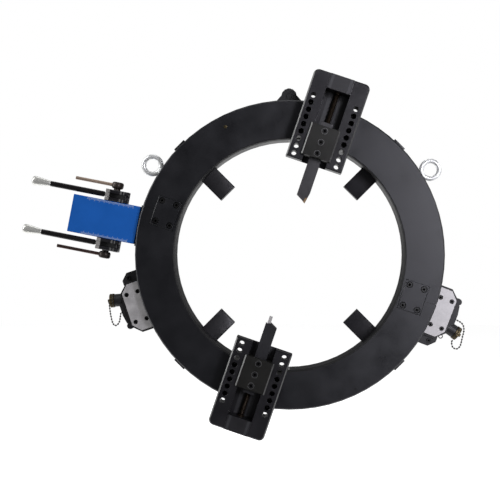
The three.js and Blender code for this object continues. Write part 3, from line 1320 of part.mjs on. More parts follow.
function leverKnob(lever) {
  const start = TRIP_BLOCK_INNER + LEVER_PIVOT + LEVER_ROD_START + LEVER_ROD_LENGTH + SEAT_GAP;
  const end = start + KNOB_LENGTH;
  const swell = (KNOB_LARGE_RADIUS - KNOB_SMALL_RADIUS) / 3;
  const body = turnedAlongX([
    [0, start],
    [KNOB_SMALL_RADIUS, start],
    [KNOB_SMALL_RADIUS + swell, start + KNOB_LENGTH / 2],
    [KNOB_LARGE_RADIUS, end - KNOB_LARGE_RADIUS],
    [KNOB_LARGE_RADIUS, end - KNOB_LARGE_RADIUS / 2],
    [KNOB_SMALL_RADIUS, end],
    [0, end],
  ], lever, -LEVER_DEPTH, ROUND_SEGMENTS);
  const bore = pegAlongX(
    boreFor(KNOB_STUB_RADIUS), start - OVERRUN, start + KNOB_STUB_LENGTH, lever, -LEVER_DEPTH,
  );
  return cut(body, bore);
}

function clampLever(outerFace, rodLength) {
  const hubX = TRIP_BLOCK_INNER + CLAMP_HUB_OFFSET;
  const start = outerFace + SEAT_GAP;
  const hubStart = start + CLAMP_HUB_STANDOFF;
  const hubEnd = hubStart + CLAMP_HUB_LENGTH;
  const shank = pegAlongY(CLAMP_SHANK_RADIUS, outerFace - CLAMP_SHANK_LENGTH, hubStart + SEAT_GAP, hubX, -CLAMP_HUB_DEPTH);
  const neck = pegAlongY(CLAMP_SHANK_RADIUS + CLAMP_ROD_RADIUS, start, hubStart + SEAT_GAP, hubX, -CLAMP_HUB_DEPTH);
  const hub = pegAlongY(CLAMP_HUB_RADIUS, hubStart, hubEnd, hubX, -CLAMP_HUB_DEPTH);
  const rodMiddle = (hubStart + hubEnd) / 2;
  const rod = pegAlongX(CLAMP_ROD_RADIUS, hubX, hubX + rodLength, rodMiddle, -CLAMP_HUB_DEPTH, SMALL_SEGMENTS);
  return join(shank, neck, hub, rod);
}

const machine = new THREE.Group();
machine.add(
  statorHalf('stator_left', -1),
  statorHalf('stator_right', 1),
  hingePin(),
  closureBolt(),
  ...ROLLER_ANGLES.map((angle, index) => roller(index, angle)),
  ...LEG_ANGLES.map(legUnit),
  ...Object.entries(EYE_ANGLES).map(([name, angle]) => eyeBolt(name, angle)),
  ...rotorHalves(),
  jointPlate('joint_plate_left', SPLIT_ANGLE),
  jointPlate('joint_plate_right', SPLIT_ANGLE + Math.PI),
  slideUnit('upper'),
  slideUnit('lower'),
  driveUnit('left'),
  driveUnit('right'),
  radialGroup(TOWER_ANGLE, tripTower(), ...tripPieces('lower', 1), ...tripPieces('upper', -1)),
);

// The machine's front faces -Y, and the origin lies on the pipe's axis in the legs' middle plane.
machine.rotation.x = Math.PI / 2;
machine.position.y = -LEG_DEPTH;

const beveler = new THREE.Group();
beveler.add(machine);

export default beveler;
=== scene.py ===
"""Looks for a split-frame pipe cutting and beveling machine. Lengths are in millimetres in the
machine's own frame: x right, y up, z towards the tools, with z = 0 on the rotating ring's front face.
"""

import math

import bmesh
import bpy
from mathutils import Matrix, Vector


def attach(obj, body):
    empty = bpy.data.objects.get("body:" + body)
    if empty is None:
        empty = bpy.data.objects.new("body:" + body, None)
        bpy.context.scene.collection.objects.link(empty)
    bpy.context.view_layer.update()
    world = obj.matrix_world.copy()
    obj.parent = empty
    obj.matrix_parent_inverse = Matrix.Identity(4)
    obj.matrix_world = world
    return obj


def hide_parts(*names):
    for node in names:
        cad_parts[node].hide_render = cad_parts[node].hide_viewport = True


# Clearances, overruns and tolerances
SEAT_GAP = 0.3
BORE_GAP = 0.45
HAIRLINE = 0.05
INLAY = 0.15
OVERRUN = 5
MERGE_DISTANCE = 1e-4
CREASE_ANGLE = 32
BEVEL_ANGLE = 35
FLAT_ANGLE = 0.5
WELD_DISTANCE = 0.01
ALIGNED = 0.999
METRE = 1000

# Widths of the softened edges
SMALL_SCREW_BEVEL = 0.12
SCREW_BEVEL = 0.15
SADDLE_BEVEL = 0.2
FINE_BEVEL = 0.3
GROUND_BEVEL = 0.4
MILLED_BEVEL = 0.5
COVER_BEVEL = 0.6
MOTOR_BEVEL = 0.8

# Rings
BORE_RADIUS = 232.5
RING_RADIUS = 310
FLANGE_OVERHANG = 10
DRUM_RADIUS = 311
BOSS_HEIGHT = 2
BOSS_SEAT = DRUM_RADIUS + BOSS_HEIGHT + SEAT_GAP
STATOR_REAR = 78
LEG_DEPTH = 62
SPLIT_ANGLE = 161.2
LEG_ANGLES = [45, 135, 225, 315]
ROLLER_ANGLES = [22.5, 112.5, 202.5, 292.5]
SIDES = {"upper": -1, "lower": 1}

MACHINE = Matrix((
    (1 / METRE, 0, 0, 0),
    (0, 0, -1 / METRE, -LEG_DEPTH / METRE),
    (0, 1 / METRE, 0, 0),
    (0, 0, 0, 1),
))
MACHINE_BACK = MACHINE @ Matrix.Rotation(math.pi, 4, "X")


def radial(angle):
    """Places a piece drawn with x outwards at that angle of the machine."""
    return MACHINE @ Matrix.Rotation(math.radians(angle), 4, "Z")


# Camera, in metres
CAMERA_PLACE = Vector((0, -2.062, 0.020))
CAMERA_AIM = Vector((-0.078, -0.062, 0.010))

camera_data = bpy.data.cameras.new("camera")
camera_data.lens = 72
camera_data.sensor_width = 36
camera = bpy.data.objects.new("camera", camera_data)
bpy.context.scene.collection.objects.link(camera)
camera.location = CAMERA_PLACE
camera.rotation_euler = (CAMERA_AIM - CAMERA_PLACE).to_track_quat("-Z", "Y").to_euler()
bpy.context.scene.camera = camera

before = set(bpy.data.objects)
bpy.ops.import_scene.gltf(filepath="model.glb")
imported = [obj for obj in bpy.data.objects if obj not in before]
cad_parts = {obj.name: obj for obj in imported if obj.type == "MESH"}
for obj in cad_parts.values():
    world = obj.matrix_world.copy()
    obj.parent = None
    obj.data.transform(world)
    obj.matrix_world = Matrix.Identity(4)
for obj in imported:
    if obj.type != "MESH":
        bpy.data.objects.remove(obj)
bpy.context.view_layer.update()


# Materials


def node(tree, kind, **values):
    made = tree.nodes.new(kind)
    for key, value in values.items():
        if key in made.inputs:
            made.inputs[key].default_value = value
        else:
            setattr(made, key, value)
    return made


def finish(name, colour, roughness, metallic, mottle=0.25, grain=0.02, grain_scale=900,
           streaks=None, blotch_scale=18, spread=0.12, gloss=0.5):
    """A worn, slightly uneven surface. mottle varies its colour, spread its roughness, and grain its
    height; streaks stretches the grain along one or more axes, as brushing does."""
    material = bpy.data.materials.new(name)
    material.use_nodes = True
    tree = material.node_tree
    shader = tree.nodes["Principled BSDF"]
    shader.inputs["Metallic"].default_value = metallic
    shader.inputs["Specular IOR Level"].default_value = gloss
    place = node(tree, "ShaderNodeTexCoord")
    blotches = node(tree, "ShaderNodeTexNoise", Scale=blotch_scale, Detail=5.0, Roughness=0.6)
    tree.links.new(place.outputs["Object"], blotches.inputs["Vector"])
    fine = node(tree, "ShaderNodeTexNoise", Scale=grain_scale, Detail=3.0, Roughness=0.55)
    if streaks:
        stretch = node(tree, "ShaderNodeMapping", Scale=streaks)
        tree.links.new(place.outputs["Object"], stretch.inputs["Vector"])
        tree.links.new(stretch.outputs["Vector"], fine.inputs["Vector"])
    else:
        tree.links.new(place.outputs["Object"], fine.inputs["Vector"])
    ramp = node(tree, "ShaderNodeValToRGB")
    low, high = ramp.color_ramp.elements
    low.position, high.position = 0.3, 0.72
    low.color = (*(channel * (1 - mottle) for channel in colour), 1)
    high.color = (*(min(1, channel * (1 + mottle)) for channel in colour), 1)
    mixed = node(tree, "ShaderNodeMix", data_type="FLOAT", Factor=0.35)
    tree.links.new(blotches.outputs["Fac"], mixed.inputs["A"])
    tree.links.new(fine.outputs["Fac"], mixed.inputs["B"])
    tree.links.new(mixed.outputs["Result"], ramp.inputs["Fac"])
    tree.links.new(ramp.outputs["Color"], shader.inputs["Base Color"])
    rough = node(tree, "ShaderNodeMapRange")
    rough.inputs["From Min"].default_value = 0.3
    rough.inputs["From Max"].default_value = 0.7
    rough.inputs["To Min"].default_value = max(0.05, roughness - spread)
    rough.inputs["To Max"].default_value = min(1, roughness + spread)
    tree.links.new(mixed.outputs["Result"], rough.inputs["Value"])
    tree.links.new(rough.outputs["Result"], shader.inputs["Roughness"])
    bump = node(tree, "ShaderNodeBump", Strength=grain * 10, Distance=0.0002)
    tree.links.new(fine.outputs["Fac"], bump.inputs["Height"])
    tree.links.new(bump.outputs["Normal"], shader.inputs["Normal"])
    return material


# Blackened steel and cast iron
RING_BLACK = finish("ring_black", (0.0075, 0.0078, 0.0105), 0.37, 0.3, mottle=0.3, grain=0.012)
FRAME_BLACK = finish("frame_black", (0.007, 0.007, 0.008), 0.45, 0.2, mottle=0.35, grain=0.03, gloss=0.4)
SLIDE_BLACK = finish("slide_black", (0.008, 0.0075, 0.010), 0.37, 0.25, mottle=0.3, grain=0.012,
                     gloss=0.42)
BLOCK_BLACK = finish("block_black", (0.0055, 0.0053, 0.0042), 0.42, 0.2, mottle=0.3, grain=0.01,
                     gloss=0.35)
PLATE_BLACK = finish("plate_black", (0.011, 0.0105, 0.013), 0.45, 0.3, mottle=0.3, grain=0.015)
SCREW_BLACK = finish("screw_black", (0.005, 0.005, 0.0055), 0.36, 0.4, grain=0.01)
# Near-black matte for the discs painted as shade on the floors of screw sockets
SOCKET_SHADE = finish("socket_shade", (0.0006, 0.0006, 0.0006), 0.8, 0.0, mottle=0.2, grain=0.01,
                      gloss=0.05)
BORE_BLACK = finish("bore_black", (0.012, 0.012, 0.013), 0.7, 0.0, mottle=0.3, gloss=0.15)
CAST_BLACK = finish("cast_black", (0.0085, 0.0083, 0.0095), 0.52, 0.15, mottle=0.4, grain=0.08,
                    grain_scale=420, gloss=0.4)
LEVER_BLACK = finish("lever_black", (0.014, 0.0125, 0.0135), 0.3, 0.6, mottle=0.2, grain=0.004)
RUBBER = finish("rubber", (0.012, 0.012, 0.012), 0.7, 0.0, mottle=0.2, grain=0.05)

# Bare and plated steel
TOOL_STEEL = finish("tool_steel", (0.03, 0.03, 0.034), 0.38, 0.7, mottle=0.2, streaks=(1, 1, 0.06))
PALE_STEEL = finish("pale_steel", (0.04, 0.039, 0.042), 0.42, 0.6, mottle=0.3, grain=0.03)
BLADE_GREY = finish("blade_grey", (0.30, 0.29, 0.29), 0.45, 0.2, mottle=0.15)
GROUND_STEEL = finish("ground_steel", (0.45, 0.45, 0.46), 0.3, 1.0, mottle=0.15, streaks=(0.05, 1, 1))
BRIGHT_STEEL = finish("bright_steel", (0.62, 0.62, 0.6), 0.24, 0.85, mottle=0.08, grain=0.004)
ZINC = finish("zinc", (0.42, 0.43, 0.45), 0.32, 1.0, mottle=0.3, blotch_scale=60)
COVER_STEEL = finish("cover_steel", (0.355, 0.345, 0.35), 0.5, 0.3, mottle=0.22, grain=0.03,
                     grain_scale=500, blotch_scale=45)
# Lighter bare steel: the tool holders' collars, and a painted highlight (partly wear) on the long chamfers
# of the slides and tool holders
WORN_EDGE_AND_HIGHLIGHT = finish("worn_edge_and_highlight", (0.10, 0.10, 0.10), 0.42, 0.8, mottle=0.15, grain=0.01)
# A lighter grey painted as light: the lit strips of the slides' channel floors and the lit chamfers of
# their bearing blocks
PAINTED_LIGHT_GREY = finish("painted_light_grey", (0.03, 0.03, 0.034), 0.45, 0.4, mottle=0.2, streaks=(0.1, 1, 1))
PAD_DARK = finish("pad_dark", (0.12, 0.12, 0.12), 0.45, 0.4, mottle=0.15, grain=0.01)
PAD_GREY = finish("pad_grey", (0.31, 0.30, 0.29), 0.45, 0.4, mottle=0.15, grain=0.01)
KNOB_STEEL = finish("knob_steel", (0.66, 0.66, 0.63), 0.28, 0.6, mottle=0.05, grain=0.001)
EYE_STEEL = finish("eye_steel", (0.68, 0.69, 0.69), 0.26, 0.5, mottle=0.12, grain=0.008,
                   blotch_scale=60)
CHAIN_STEEL = finish("chain_steel", (0.045, 0.043, 0.04), 0.35, 0.8, mottle=0.3, grain=0.01)

# Bronze, brass and carbide
DARK_BRONZE = finish("dark_bronze", (0.026, 0.018, 0.012), 0.38, 0.75, mottle=0.3)
HUB_BRONZE = finish("hub_bronze", (0.034, 0.026, 0.022), 0.4, 0.6, mottle=0.3)
LEVER_TAN = finish("lever_tan", (0.33, 0.25, 0.195), 0.42, 0.5, mottle=0.2, grain=0.01)
LEVER_BROWN = finish("lever_brown", (0.06, 0.032, 0.027), 0.42, 0.5, mottle=0.3, grain=0.01)
CAP_BRASS = finish("cap_brass", (0.055, 0.042, 0.019), 0.4, 0.8, mottle=0.6, blotch_scale=110)
CARBIDE = finish("carbide", (0.20, 0.13, 0.07), 0.4, 0.5)

# Paint
TOWER_BLUE = finish("tower_blue", (0.0008, 0.078, 0.345), 0.5, 0.0, mottle=0.12, grain=0.008, gloss=0.2)
MARK_PALE = finish("mark_pale", (0.30, 0.36, 0.48), 0.5, 0.0, mottle=0.1, grain=0.01)


# Solids as bmeshes


def close_up(bm):
    """Fills the open ends of a shell with flat faces and points its faces outwards."""
    bmesh.ops.holes_fill(bm, edges=bm.edges, sides=0)
    bmesh.ops.recalc_face_normals(bm, faces=bm.faces)
    return bm


def pushed(corners, push):
    """A flat outline pushed along a vector."""
    bm = bmesh.new()
    face = bm.faces.new([bm.verts.new(corner) for corner in corners])
    far = bmesh.ops.extrude_face_region(bm, geom=[face])["geom"]
    bmesh.ops.translate(bm, vec=push, verts=[item for item in far if isinstance(item, bmesh.types.BMVert)])
    bmesh.ops.recalc_face_normals(bm, faces=bm.faces)
    return bm


def slab(outline, z0, z1):
    return pushed([(x, y, z0) for x, y in outline], (0, 0, z1 - z0))


def box(x, y, z):
    spans = [(min(span), max(span)) for span in (x, y, z)]
    bm = bmesh.new()
    middle = Matrix.Translation([(low + high) / 2 for low, high in spans])
    size = Matrix.Diagonal([*(high - low for low, high in spans), 1])
    bmesh.ops.create_cube(bm, size=1, matrix=middle @ size)
    return bm


def bevelled(bm, width, chosen, segments=1):
    """Bevels the edges for which chosen is true: one segment chamfers them, more round them."""
    edges = [edge for edge in bm.edges if chosen(edge)]
    bmesh.ops.bevel(bm, geom=edges, offset=width, offset_type="OFFSET", segments=segments, profile=0.5,
                    affect="EDGES", material=-1)
    return bm


def along(axis):
    """Tells the edges that run along an axis, 0 for x, 1 for y and 2 for z."""
    return lambda edge: abs((edge.verts[1].co - edge.verts[0].co).normalized()[axis]) > ALIGNED


def bar(x, y, z, chamfer):
    """A box along x whose four long edges are chamfered."""
    return bevelled(box(x, y, z), chamfer, along(0))


def aim_along(bm, axis, centre):
    turns = {"Z": Matrix.Identity(4), "X": Matrix.Rotation(math.pi / 2, 4, "Y"),
             "Y": Matrix.Rotation(-math.pi / 2, 4, "X")}
    bmesh.ops.transform(bm, matrix=Matrix.Translation(centre) @ turns[axis], verts=bm.verts)
    return bm


def turned(profile, segments=48, axis="Z", centre=(0, 0, 0)):
    """A profile of (radius, height) pairs turned about an axis, with flat ends."""
    bm = bmesh.new()
    points = [bm.verts.new((radius, 0, height)) for radius, height in profile]
    lines = [bm.edges.new(pair) for pair in zip(points, points[1:])]
    bmesh.ops.spin(bm, geom=points + lines, cent=(0, 0, 0), axis=(0, 0, 1), angle=2 * math.pi,
                   steps=segments, use_merge=True)
    return aim_along(close_up(bm), axis, centre)


def peg(radius, z0, z1, segments=32, axis="Z", centre=(0, 0, 0)):
    """A round bar, or a prism when it has few segments, with a corner straight out along x."""
    bm = bmesh.new()
    place = Matrix.Translation((0, 0, (z0 + z1) / 2)) @ Matrix.Rotation(-math.pi / 2, 4, "Z")
    bmesh.ops.create_cone(bm, cap_ends=True, cap_tris=False, segments=segments, radius1=radius,
                          radius2=radius, depth=z1 - z0, matrix=place)
    return aim_along(bm, axis, centre)


def torus(major, minor, centre, segments=56, sides=20, axis="Z"):
    bm = bmesh.new()
    upright = Matrix.Rotation(math.pi / 2, 4, "X") @ Matrix.Rotation(-math.pi / 2, 4, "Z")
    section = Matrix.Translation((major, 0, 0)) @ upright
    bmesh.ops.create_circle(bm, cap_ends=False, segments=sides, radius=minor, matrix=section)
    bmesh.ops.spin(bm, geom=bm.verts[:] + bm.edges[:], cent=(0, 0, 0), axis=(0, 0, 1),
                   angle=2 * math.pi, steps=segments, use_merge=True)
    bmesh.ops.recalc_face_normals(bm, faces=bm.faces)
    return aim_along(bm, axis, centre)


def thread(radius, depth, pitch, x0, x1, centre, segments=24):
    """A threaded rod along x: one tooth's outline wound along the rod, and cut off flat at its ends."""
    bm = bmesh.new()
    start = (x0 // pitch - 1) * pitch
    turns = math.ceil((x1 - start) / pitch) + 1
    tooth = [(start, radius - depth), (start + pitch / 2, radius), (start + pitch, radius - depth)]
    points = [bm.verts.new((x, r, 0)) for x, r in tooth]
    lines = [bm.edges.new(pair) for pair in zip(points, points[1:])]
    bmesh.ops.spin(bm, geom=points + lines, cent=(0, 0, 0), axis=(1, 0, 0), angle=2 * math.pi * turns,
                   dvec=(pitch / segments, 0, 0), steps=turns * segments)
    bmesh.ops.remove_doubles(bm, verts=bm.verts, dist=10 * MERGE_DISTANCE)
    for end, outwards in ((x0, -1), (x1, 1)):
        bmesh.ops.bisect_plane(bm, geom=bm.verts[:] + bm.edges[:] + bm.faces[:], plane_co=(end, 0, 0),
                               plane_no=(outwards, 0, 0), clear_outer=True)
    bmesh.ops.translate(bm, vec=centre, verts=bm.verts)
    return close_up(bm)


def gather(parts):
    """Several separate solids as one bmesh."""
    whole = bmesh.new()
    for part in parts:
        mesh = bpy.data.meshes.new("part")
        part.to_mesh(mesh)
        part.free()
        whole.from_mesh(mesh)
        bpy.data.meshes.remove(mesh)
    return whole


def copy_at(bm, matrix):
    made = bm.copy()
    bmesh.ops.transform(made, matrix=matrix, verts=made.verts)
    return made


def boolean(base, tools, operation):
    objects = []
    for bm in (base, gather(tools)):
        mesh = bpy.data.meshes.new("operand")
        bm.to_mesh(mesh)
        bm.free()
        made = bpy.data.objects.new("operand", mesh)
        bpy.context.scene.collection.objects.link(made)
        objects.append(made)
    modifier = objects[0].modifiers.new("boolean", "BOOLEAN")
    modifier.operation = operation
    modifier.solver = "EXACT"
    modifier.object = objects[1]
    graph = bpy.context.evaluated_depsgraph_get()
    result = bpy.data.meshes.new_from_object(objects[0].evaluated_get(graph))
    bm = bmesh.new()
    bm.from_mesh(result)
    for made in objects:
        mesh = made.data
        bpy.data.objects.remove(made)
        bpy.data.meshes.remove(mesh)
    bpy.data.meshes.remove(result)
    return bm


def cut(base, *tools):
    """Tools that overlap each other are cut in calls of their own."""
    return boolean(base, tools, "DIFFERENCE")


def join(base, tool):
    return boolean(base, [tool], "UNION")


def soften_edges(made, width, harden):
    modifier = made.modifiers.new("edges", "BEVEL")
    modifier.width = width / METRE
    modifier.segments = 2
    modifier.limit_method = "ANGLE"
    modifier.angle_limit = math.radians(BEVEL_ANGLE)
    modifier.harden_normals = harden


def piece(name, bm, place, material, body, bevel=0.0, replaces=(), smooth=CREASE_ANGLE):
    """Puts a solid in its place, with its material, its bevelled edges and the body that it rides on."""
    bmesh.ops.remove_doubles(bm, verts=bm.verts, dist=MERGE_DISTANCE)
    bmesh.ops.transform(bm, matrix=place, verts=bm.verts)
    for face in bm.faces:
        face.smooth = True
    for edge in bm.edges:
        edge.smooth = len(edge.link_faces) == 2 and edge.calc_face_angle(math.pi) < math.radians(smooth)
    mesh = bpy.data.meshes.new(name)
    bm.to_mesh(mesh)
    bm.free()
    mesh.materials.append(material)
    made = bpy.data.objects.new(name, mesh)
    bpy.context.scene.collection.objects.link(made)
    if bevel:
        soften_edges(made, bevel, harden=True)
    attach(made, body)
    if replaces:
        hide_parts(*replaces)
    return made


def dress(name, material, bevel=0.0):
    """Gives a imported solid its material, with smooth round walls and, if asked, softened edges."""
    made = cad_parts[name]
    made.data.materials.clear()
    made.data.materials.append(material)
    if "custom_normal" in made.data.attributes:
        made.data.attributes.remove(made.data.attributes["custom_normal"])
    made.data.polygons.foreach_set("use_smooth", [True] * len(made.data.polygons))
    weld = made.modifiers.new("weld", "WELD")
    weld.merge_threshold = WELD_DISTANCE / METRE
    if bevel:
        flat = made.modifiers.new("flat", "DECIMATE")
        flat.decimate_type = "DISSOLVE"
        flat.angle_limit = math.radians(FLAT_ANGLE)
        soften_edges(made, bevel, harden=False)
    split = made.modifiers.new("split", "EDGE_SPLIT")
    split.split_angle = math.radians(CREASE_ANGLE)


def half(span):
    return -span / 2, span / 2


def around(radius, angles):
    return [(radius * math.cos(math.radians(a)), radius * math.sin(math.radians(a))) for a in angles]


# Screws; a head's chamfer is a share of its radius, up to a limit
SCREW_TURN = 0.4
RIM_SHARE = 0.12
RIM_LIMIT = 0.6
SHADE_SHARE = 0.99


def cap_screw(radius, z0, z1, socket_radius, socket_depth):
    """A socket head with a chamfered rim and a hexagon socket, and a near-black disc at the socket's floor
    as painted shade.
    """
    rim = min(RIM_LIMIT, radius * RIM_SHARE)
    head = turned([(radius, z0), (radius, z1 - rim), (radius - rim, z1)], 32)
    floor = z1 - socket_depth
    # Painted shade: a thin near-black disc at the socket's floor
    shade = peg(socket_radius * SHADE_SHARE, floor - HAIRLINE, floor + 2 * HAIRLINE, 6)
    return cut(head, peg(socket_radius, floor, z1 + OVERRUN, 6)), shade


def copies_at(name, places, solid, place, material, body, bevel=0.0):
    """Copies of a solid, each turned a little further than the last, as fitted screws are."""
    parts = [copy_at(solid, Matrix.Translation((x, y, 0)) @ Matrix.Rotation(SCREW_TURN * i, 4, "Z"))
             for i, (x, y) in enumerate(places)]
    solid.free()
    return piece(name, gather(parts), place, material, body, bevel)


def screws_at(name, places, screw, place, body, bevel):
    copies_at(name, places, screw[0], place, SCREW_BLACK, body, bevel)
    copies_at(f"{name}_socket_shades", places, screw[1], place, SOCKET_SHADE, body)


# Tool slides, each drawn with x outwards along the slide and y across it
SLIDE_ANGLES = {"upper": 71.2, "lower": 251.2}
SLIDE_WIDTH = 115
SLIDE_LENGTH = 180.5
SLIDE_INNER = BORE_RADIUS - 49
SLIDE_OUTER = SLIDE_INNER + SLIDE_LENGTH
SLIDE_HEIGHT = 42
SLIDE_TOP = SEAT_GAP + SLIDE_HEIGHT
CHANNEL_FLOOR = SEAT_GAP + 5
CHANNEL_WIDTH = 49
SLIDE_CORNER = 11
SLIDE_CORNER_SEGMENTS = 12
SLIDE_CHAMFER = 2.6

# Holes in the rails, screws in the slide's side, and lighter grey strips on its channel floor: painted
# light where the floor is lit, with the black left beside the walls and the feed screw as painted shade
RAIL_HOLES = 9
RAIL_HOLE_RADIUS = 5.2
RAIL_HOLE_PITCH = 14.8
RAIL_HOLE_EDGE = 13.6
RAIL_HOLE_START = 10
RAIL_HOLE_SINK = 0.6
RAIL_HOLE_LIP = 0.01
GIB_SCREWS = 4
GIB_SCREW_RADIUS = 2.2
GIB_SCREW_STAND = 0.25
GIB_SCREW_START = 22.5
GIB_SCREW_PITCH = 30
GIB_SCREW_HEIGHT = 24
LIT_FLOOR_EDGES = (7, 16)
LIT_FLOOR_MARGINS = (1, 0.5)

# Bearing block at the slide's outer end, with the star wheel's pocket
BEARING_LENGTH = 30
BEARING_START = SLIDE_OUTER - BEARING_LENGTH
BEARING_CHAMFER = 0.5
# Painted highlight: flat grey strips on the bearing block's face stand in for its lit chamfers
LIT_CHAMFER_EDGES = (16.2, 21.2)
LIT_CHAMFER_MARGINS = (0.8, 0.6)
LIT_CHAMFER_STAND = 0.12
STAR_THICKNESS = 6
STAR_CLEARANCE = 1.5
STAR_SPACE = 21.5
STAR_OUTER_WALL = 5
STAR_END = SLIDE_OUTER - STAR_OUTER_WALL - STAR_CLEARANCE
STAR_START = STAR_END - STAR_THICKNESS

# Feed screw
FEED_HEIGHT = 13
FEED_RADIUS = 5
FEED_THREAD_DEPTH = 0.7
FEED_PITCH = 3
FEED_START = SLIDE_INNER + 12
FEED_JOURNAL_RADIUS = 4
FEED_COLLAR_RADIUS = 7.4
FEED_COLLAR_LENGTH = 3
FEED_AXIS = (0, 0, FEED_HEIGHT)

# Tool block, whose head rides on the rails, and its clamp screws
BLOCK_INNER = {"upper": SLIDE_INNER + 12.8, "lower": SLIDE_INNER + 27.3}
BLOCK_LENGTH = 64
BLOCK_HEAD_WIDTH = CHANNEL_WIDTH + 11
BLOCK_HEAD_BOTTOM = SLIDE_TOP + SEAT_GAP
BLOCK_TOP = BLOCK_HEAD_BOTTOM + 7
BLOCK_CHAMFER = 2.5
BLOCK_SCREWS = 3
BLOCK_SCREW_PITCH = 22.8
BLOCK_SCREW_RADIUS = 5.3
BLOCK_SCREW_TOP = BLOCK_TOP - 0.4
BLOCK_SOCKET = (3, 1.4)
BLOCK_RECESS_RADIUS = 6.5
BLOCK_RECESS_FLOOR = BLOCK_TOP - 2
BLOCK_COLLAR = (5.4, 6.4)
BLOCK_COLLAR_TOP = BLOCK_TOP - 0.2

# Tool bits
BIT_WIDTH = 24
BIT_THICKNESS = 15
BIT_BOTTOM = 20
BIT_TOP = BIT_BOTTOM + BIT_THICKNESS
BIT_TAIL = 9
SLIDE_OFFSET = BIT_WIDTH / 2
BEVEL_BIT_REACH = 78.3
BEVEL_BIT_SLANT = 6.5
BEVEL_BIT_RELIEF = 10
BEVEL_TIP_LENGTH = 5.2
BEVEL_TIP_WIDTH = 4
INSERT_WIDTHS = (4.1, 4.4)
INSERT_SLANTS = (2.3, 1.5)
INSERT_RISE = 0.15
PARTING_BIT_REACH = 68.8
PARTING_SHOULDER = 5
PARTING_BLADE_LENGTH = 16
PARTING_BLADE_EDGES = (-9.2, -2.8)
BLADE_GREY_LENGTHS = (14.5, 12.5)
EDGE_FACE_WIDTH = 2.6
EDGE_FACE_INSET = 0.1
EDGE_FACE_DEPTH = 0.5

# Faces that count as a long chamfer: how much of their normal points sideways, and at least upwards
CHAMFER_SIDEWAYS = (0.6, 0.8)
CHAMFER_UPWARDS = 0.6


def painted_highlight_chamfers(made, place, nearest):
    """Gives the long chamfers beyond that distance from the middle a lighter bare-steel material: partly
    wear, partly a painted highlight where the lamps catch them.
    """
    # Painted highlight: the chamfer faces get this lighter metal in place of the lamps' glint on them
    made.data.materials.append(WORN_EDGE_AND_HIGHLIGHT)
    back = place.inverted()
    turn = place.to_3x3().inverted()
    least, most = CHAMFER_SIDEWAYS
    for polygon in made.data.polygons:
        normal = (turn @ polygon.normal).normalized()
        long_chamfer = least < abs(normal.y) < most and normal.z > CHAMFER_UPWARDS
        if long_chamfer and abs((back @ polygon.center).y) > nearest:
            polygon.material_index = 1


def both_sides(edges):
    """A span across the slide and its mirror image."""
    return edges, tuple(-edge for edge in edges)


def slide_rails(side, place):
    body = box((SLIDE_INNER, SLIDE_OUTER), half(SLIDE_WIDTH), (SEAT_GAP, SLIDE_TOP))
    upright = along(2)
    bevelled(body, SLIDE_CORNER, lambda edge: upright(edge) and edge.verts[0].co.x > BEARING_START,
             SLIDE_CORNER_SEGMENTS)
    bevelled(body, SLIDE_CHAMFER, lambda edge: not upright(edge))
    channel = box((SLIDE_INNER - OVERRUN, BEARING_START), half(CHANNEL_WIDTH),
                  (CHANNEL_FLOOR, SLIDE_TOP + OVERRUN))
    end_space = box((BEARING_START, SLIDE_OUTER + OVERRUN), half(CHANNEL_WIDTH),
                    (-OVERRUN, SLIDE_TOP + OVERRUN))
    wide = RAIL_HOLE_RADIUS + RAIL_HOLE_SINK
    hole = [(RAIL_HOLE_RADIUS, -OVERRUN), (RAIL_HOLE_RADIUS, SLIDE_TOP - RAIL_HOLE_SINK),
            (wide, SLIDE_TOP + RAIL_HOLE_LIP), (wide, SLIDE_TOP + OVERRUN)]
    holes = []
    for i in range(RAIL_HOLES):
        x = SLIDE_INNER + RAIL_HOLE_START + RAIL_HOLE_PITCH * i
        for y in half(SLIDE_WIDTH - 2 * RAIL_HOLE_EDGE):
            holes.append(turned(hole, 28, centre=(x, y, 0)))
    made = piece(f"slide_rails_{side}", cut(cut(cut(body, channel), end_space), *holes), place,
                 SLIDE_BLACK, "rotor", GROUND_BEVEL, (f"slide_base_{side}",))
    # Painted highlight, partly wear: the rails' long chamfers get lighter bare steel
    painted_highlight_chamfers(made, place, SLIDE_WIDTH / 2 - SLIDE_CHAMFER)

    # Painted light: grey strips where the channel floor is lit; the black gaps at the walls and beside the
    # feed screw stand for shade
    length = (SLIDE_INNER + LIT_FLOOR_MARGINS[0], BEARING_START - LIT_FLOOR_MARGINS[1])
    lit_floor = [box(length, y, (CHANNEL_FLOOR, CHANNEL_FLOOR + INLAY)) for y in both_sides(LIT_FLOOR_EDGES)]
    piece(f"slide_lit_floor_{side}", gather(lit_floor), place, PAINTED_LIGHT_GREY, "rotor")
    face = SLIDE_WIDTH / 2
    screws = []
    for i in range(GIB_SCREWS):
        x = SLIDE_INNER + GIB_SCREW_START + GIB_SCREW_PITCH * i
        screws.append(peg(GIB_SCREW_RADIUS, face - SEAT_GAP, face + GIB_SCREW_STAND, 20, "Y",
                          (x, 0, GIB_SCREW_HEIGHT)))
    piece(f"gib_screws_{side}", gather(screws), place, SCREW_BLACK, "rotor")


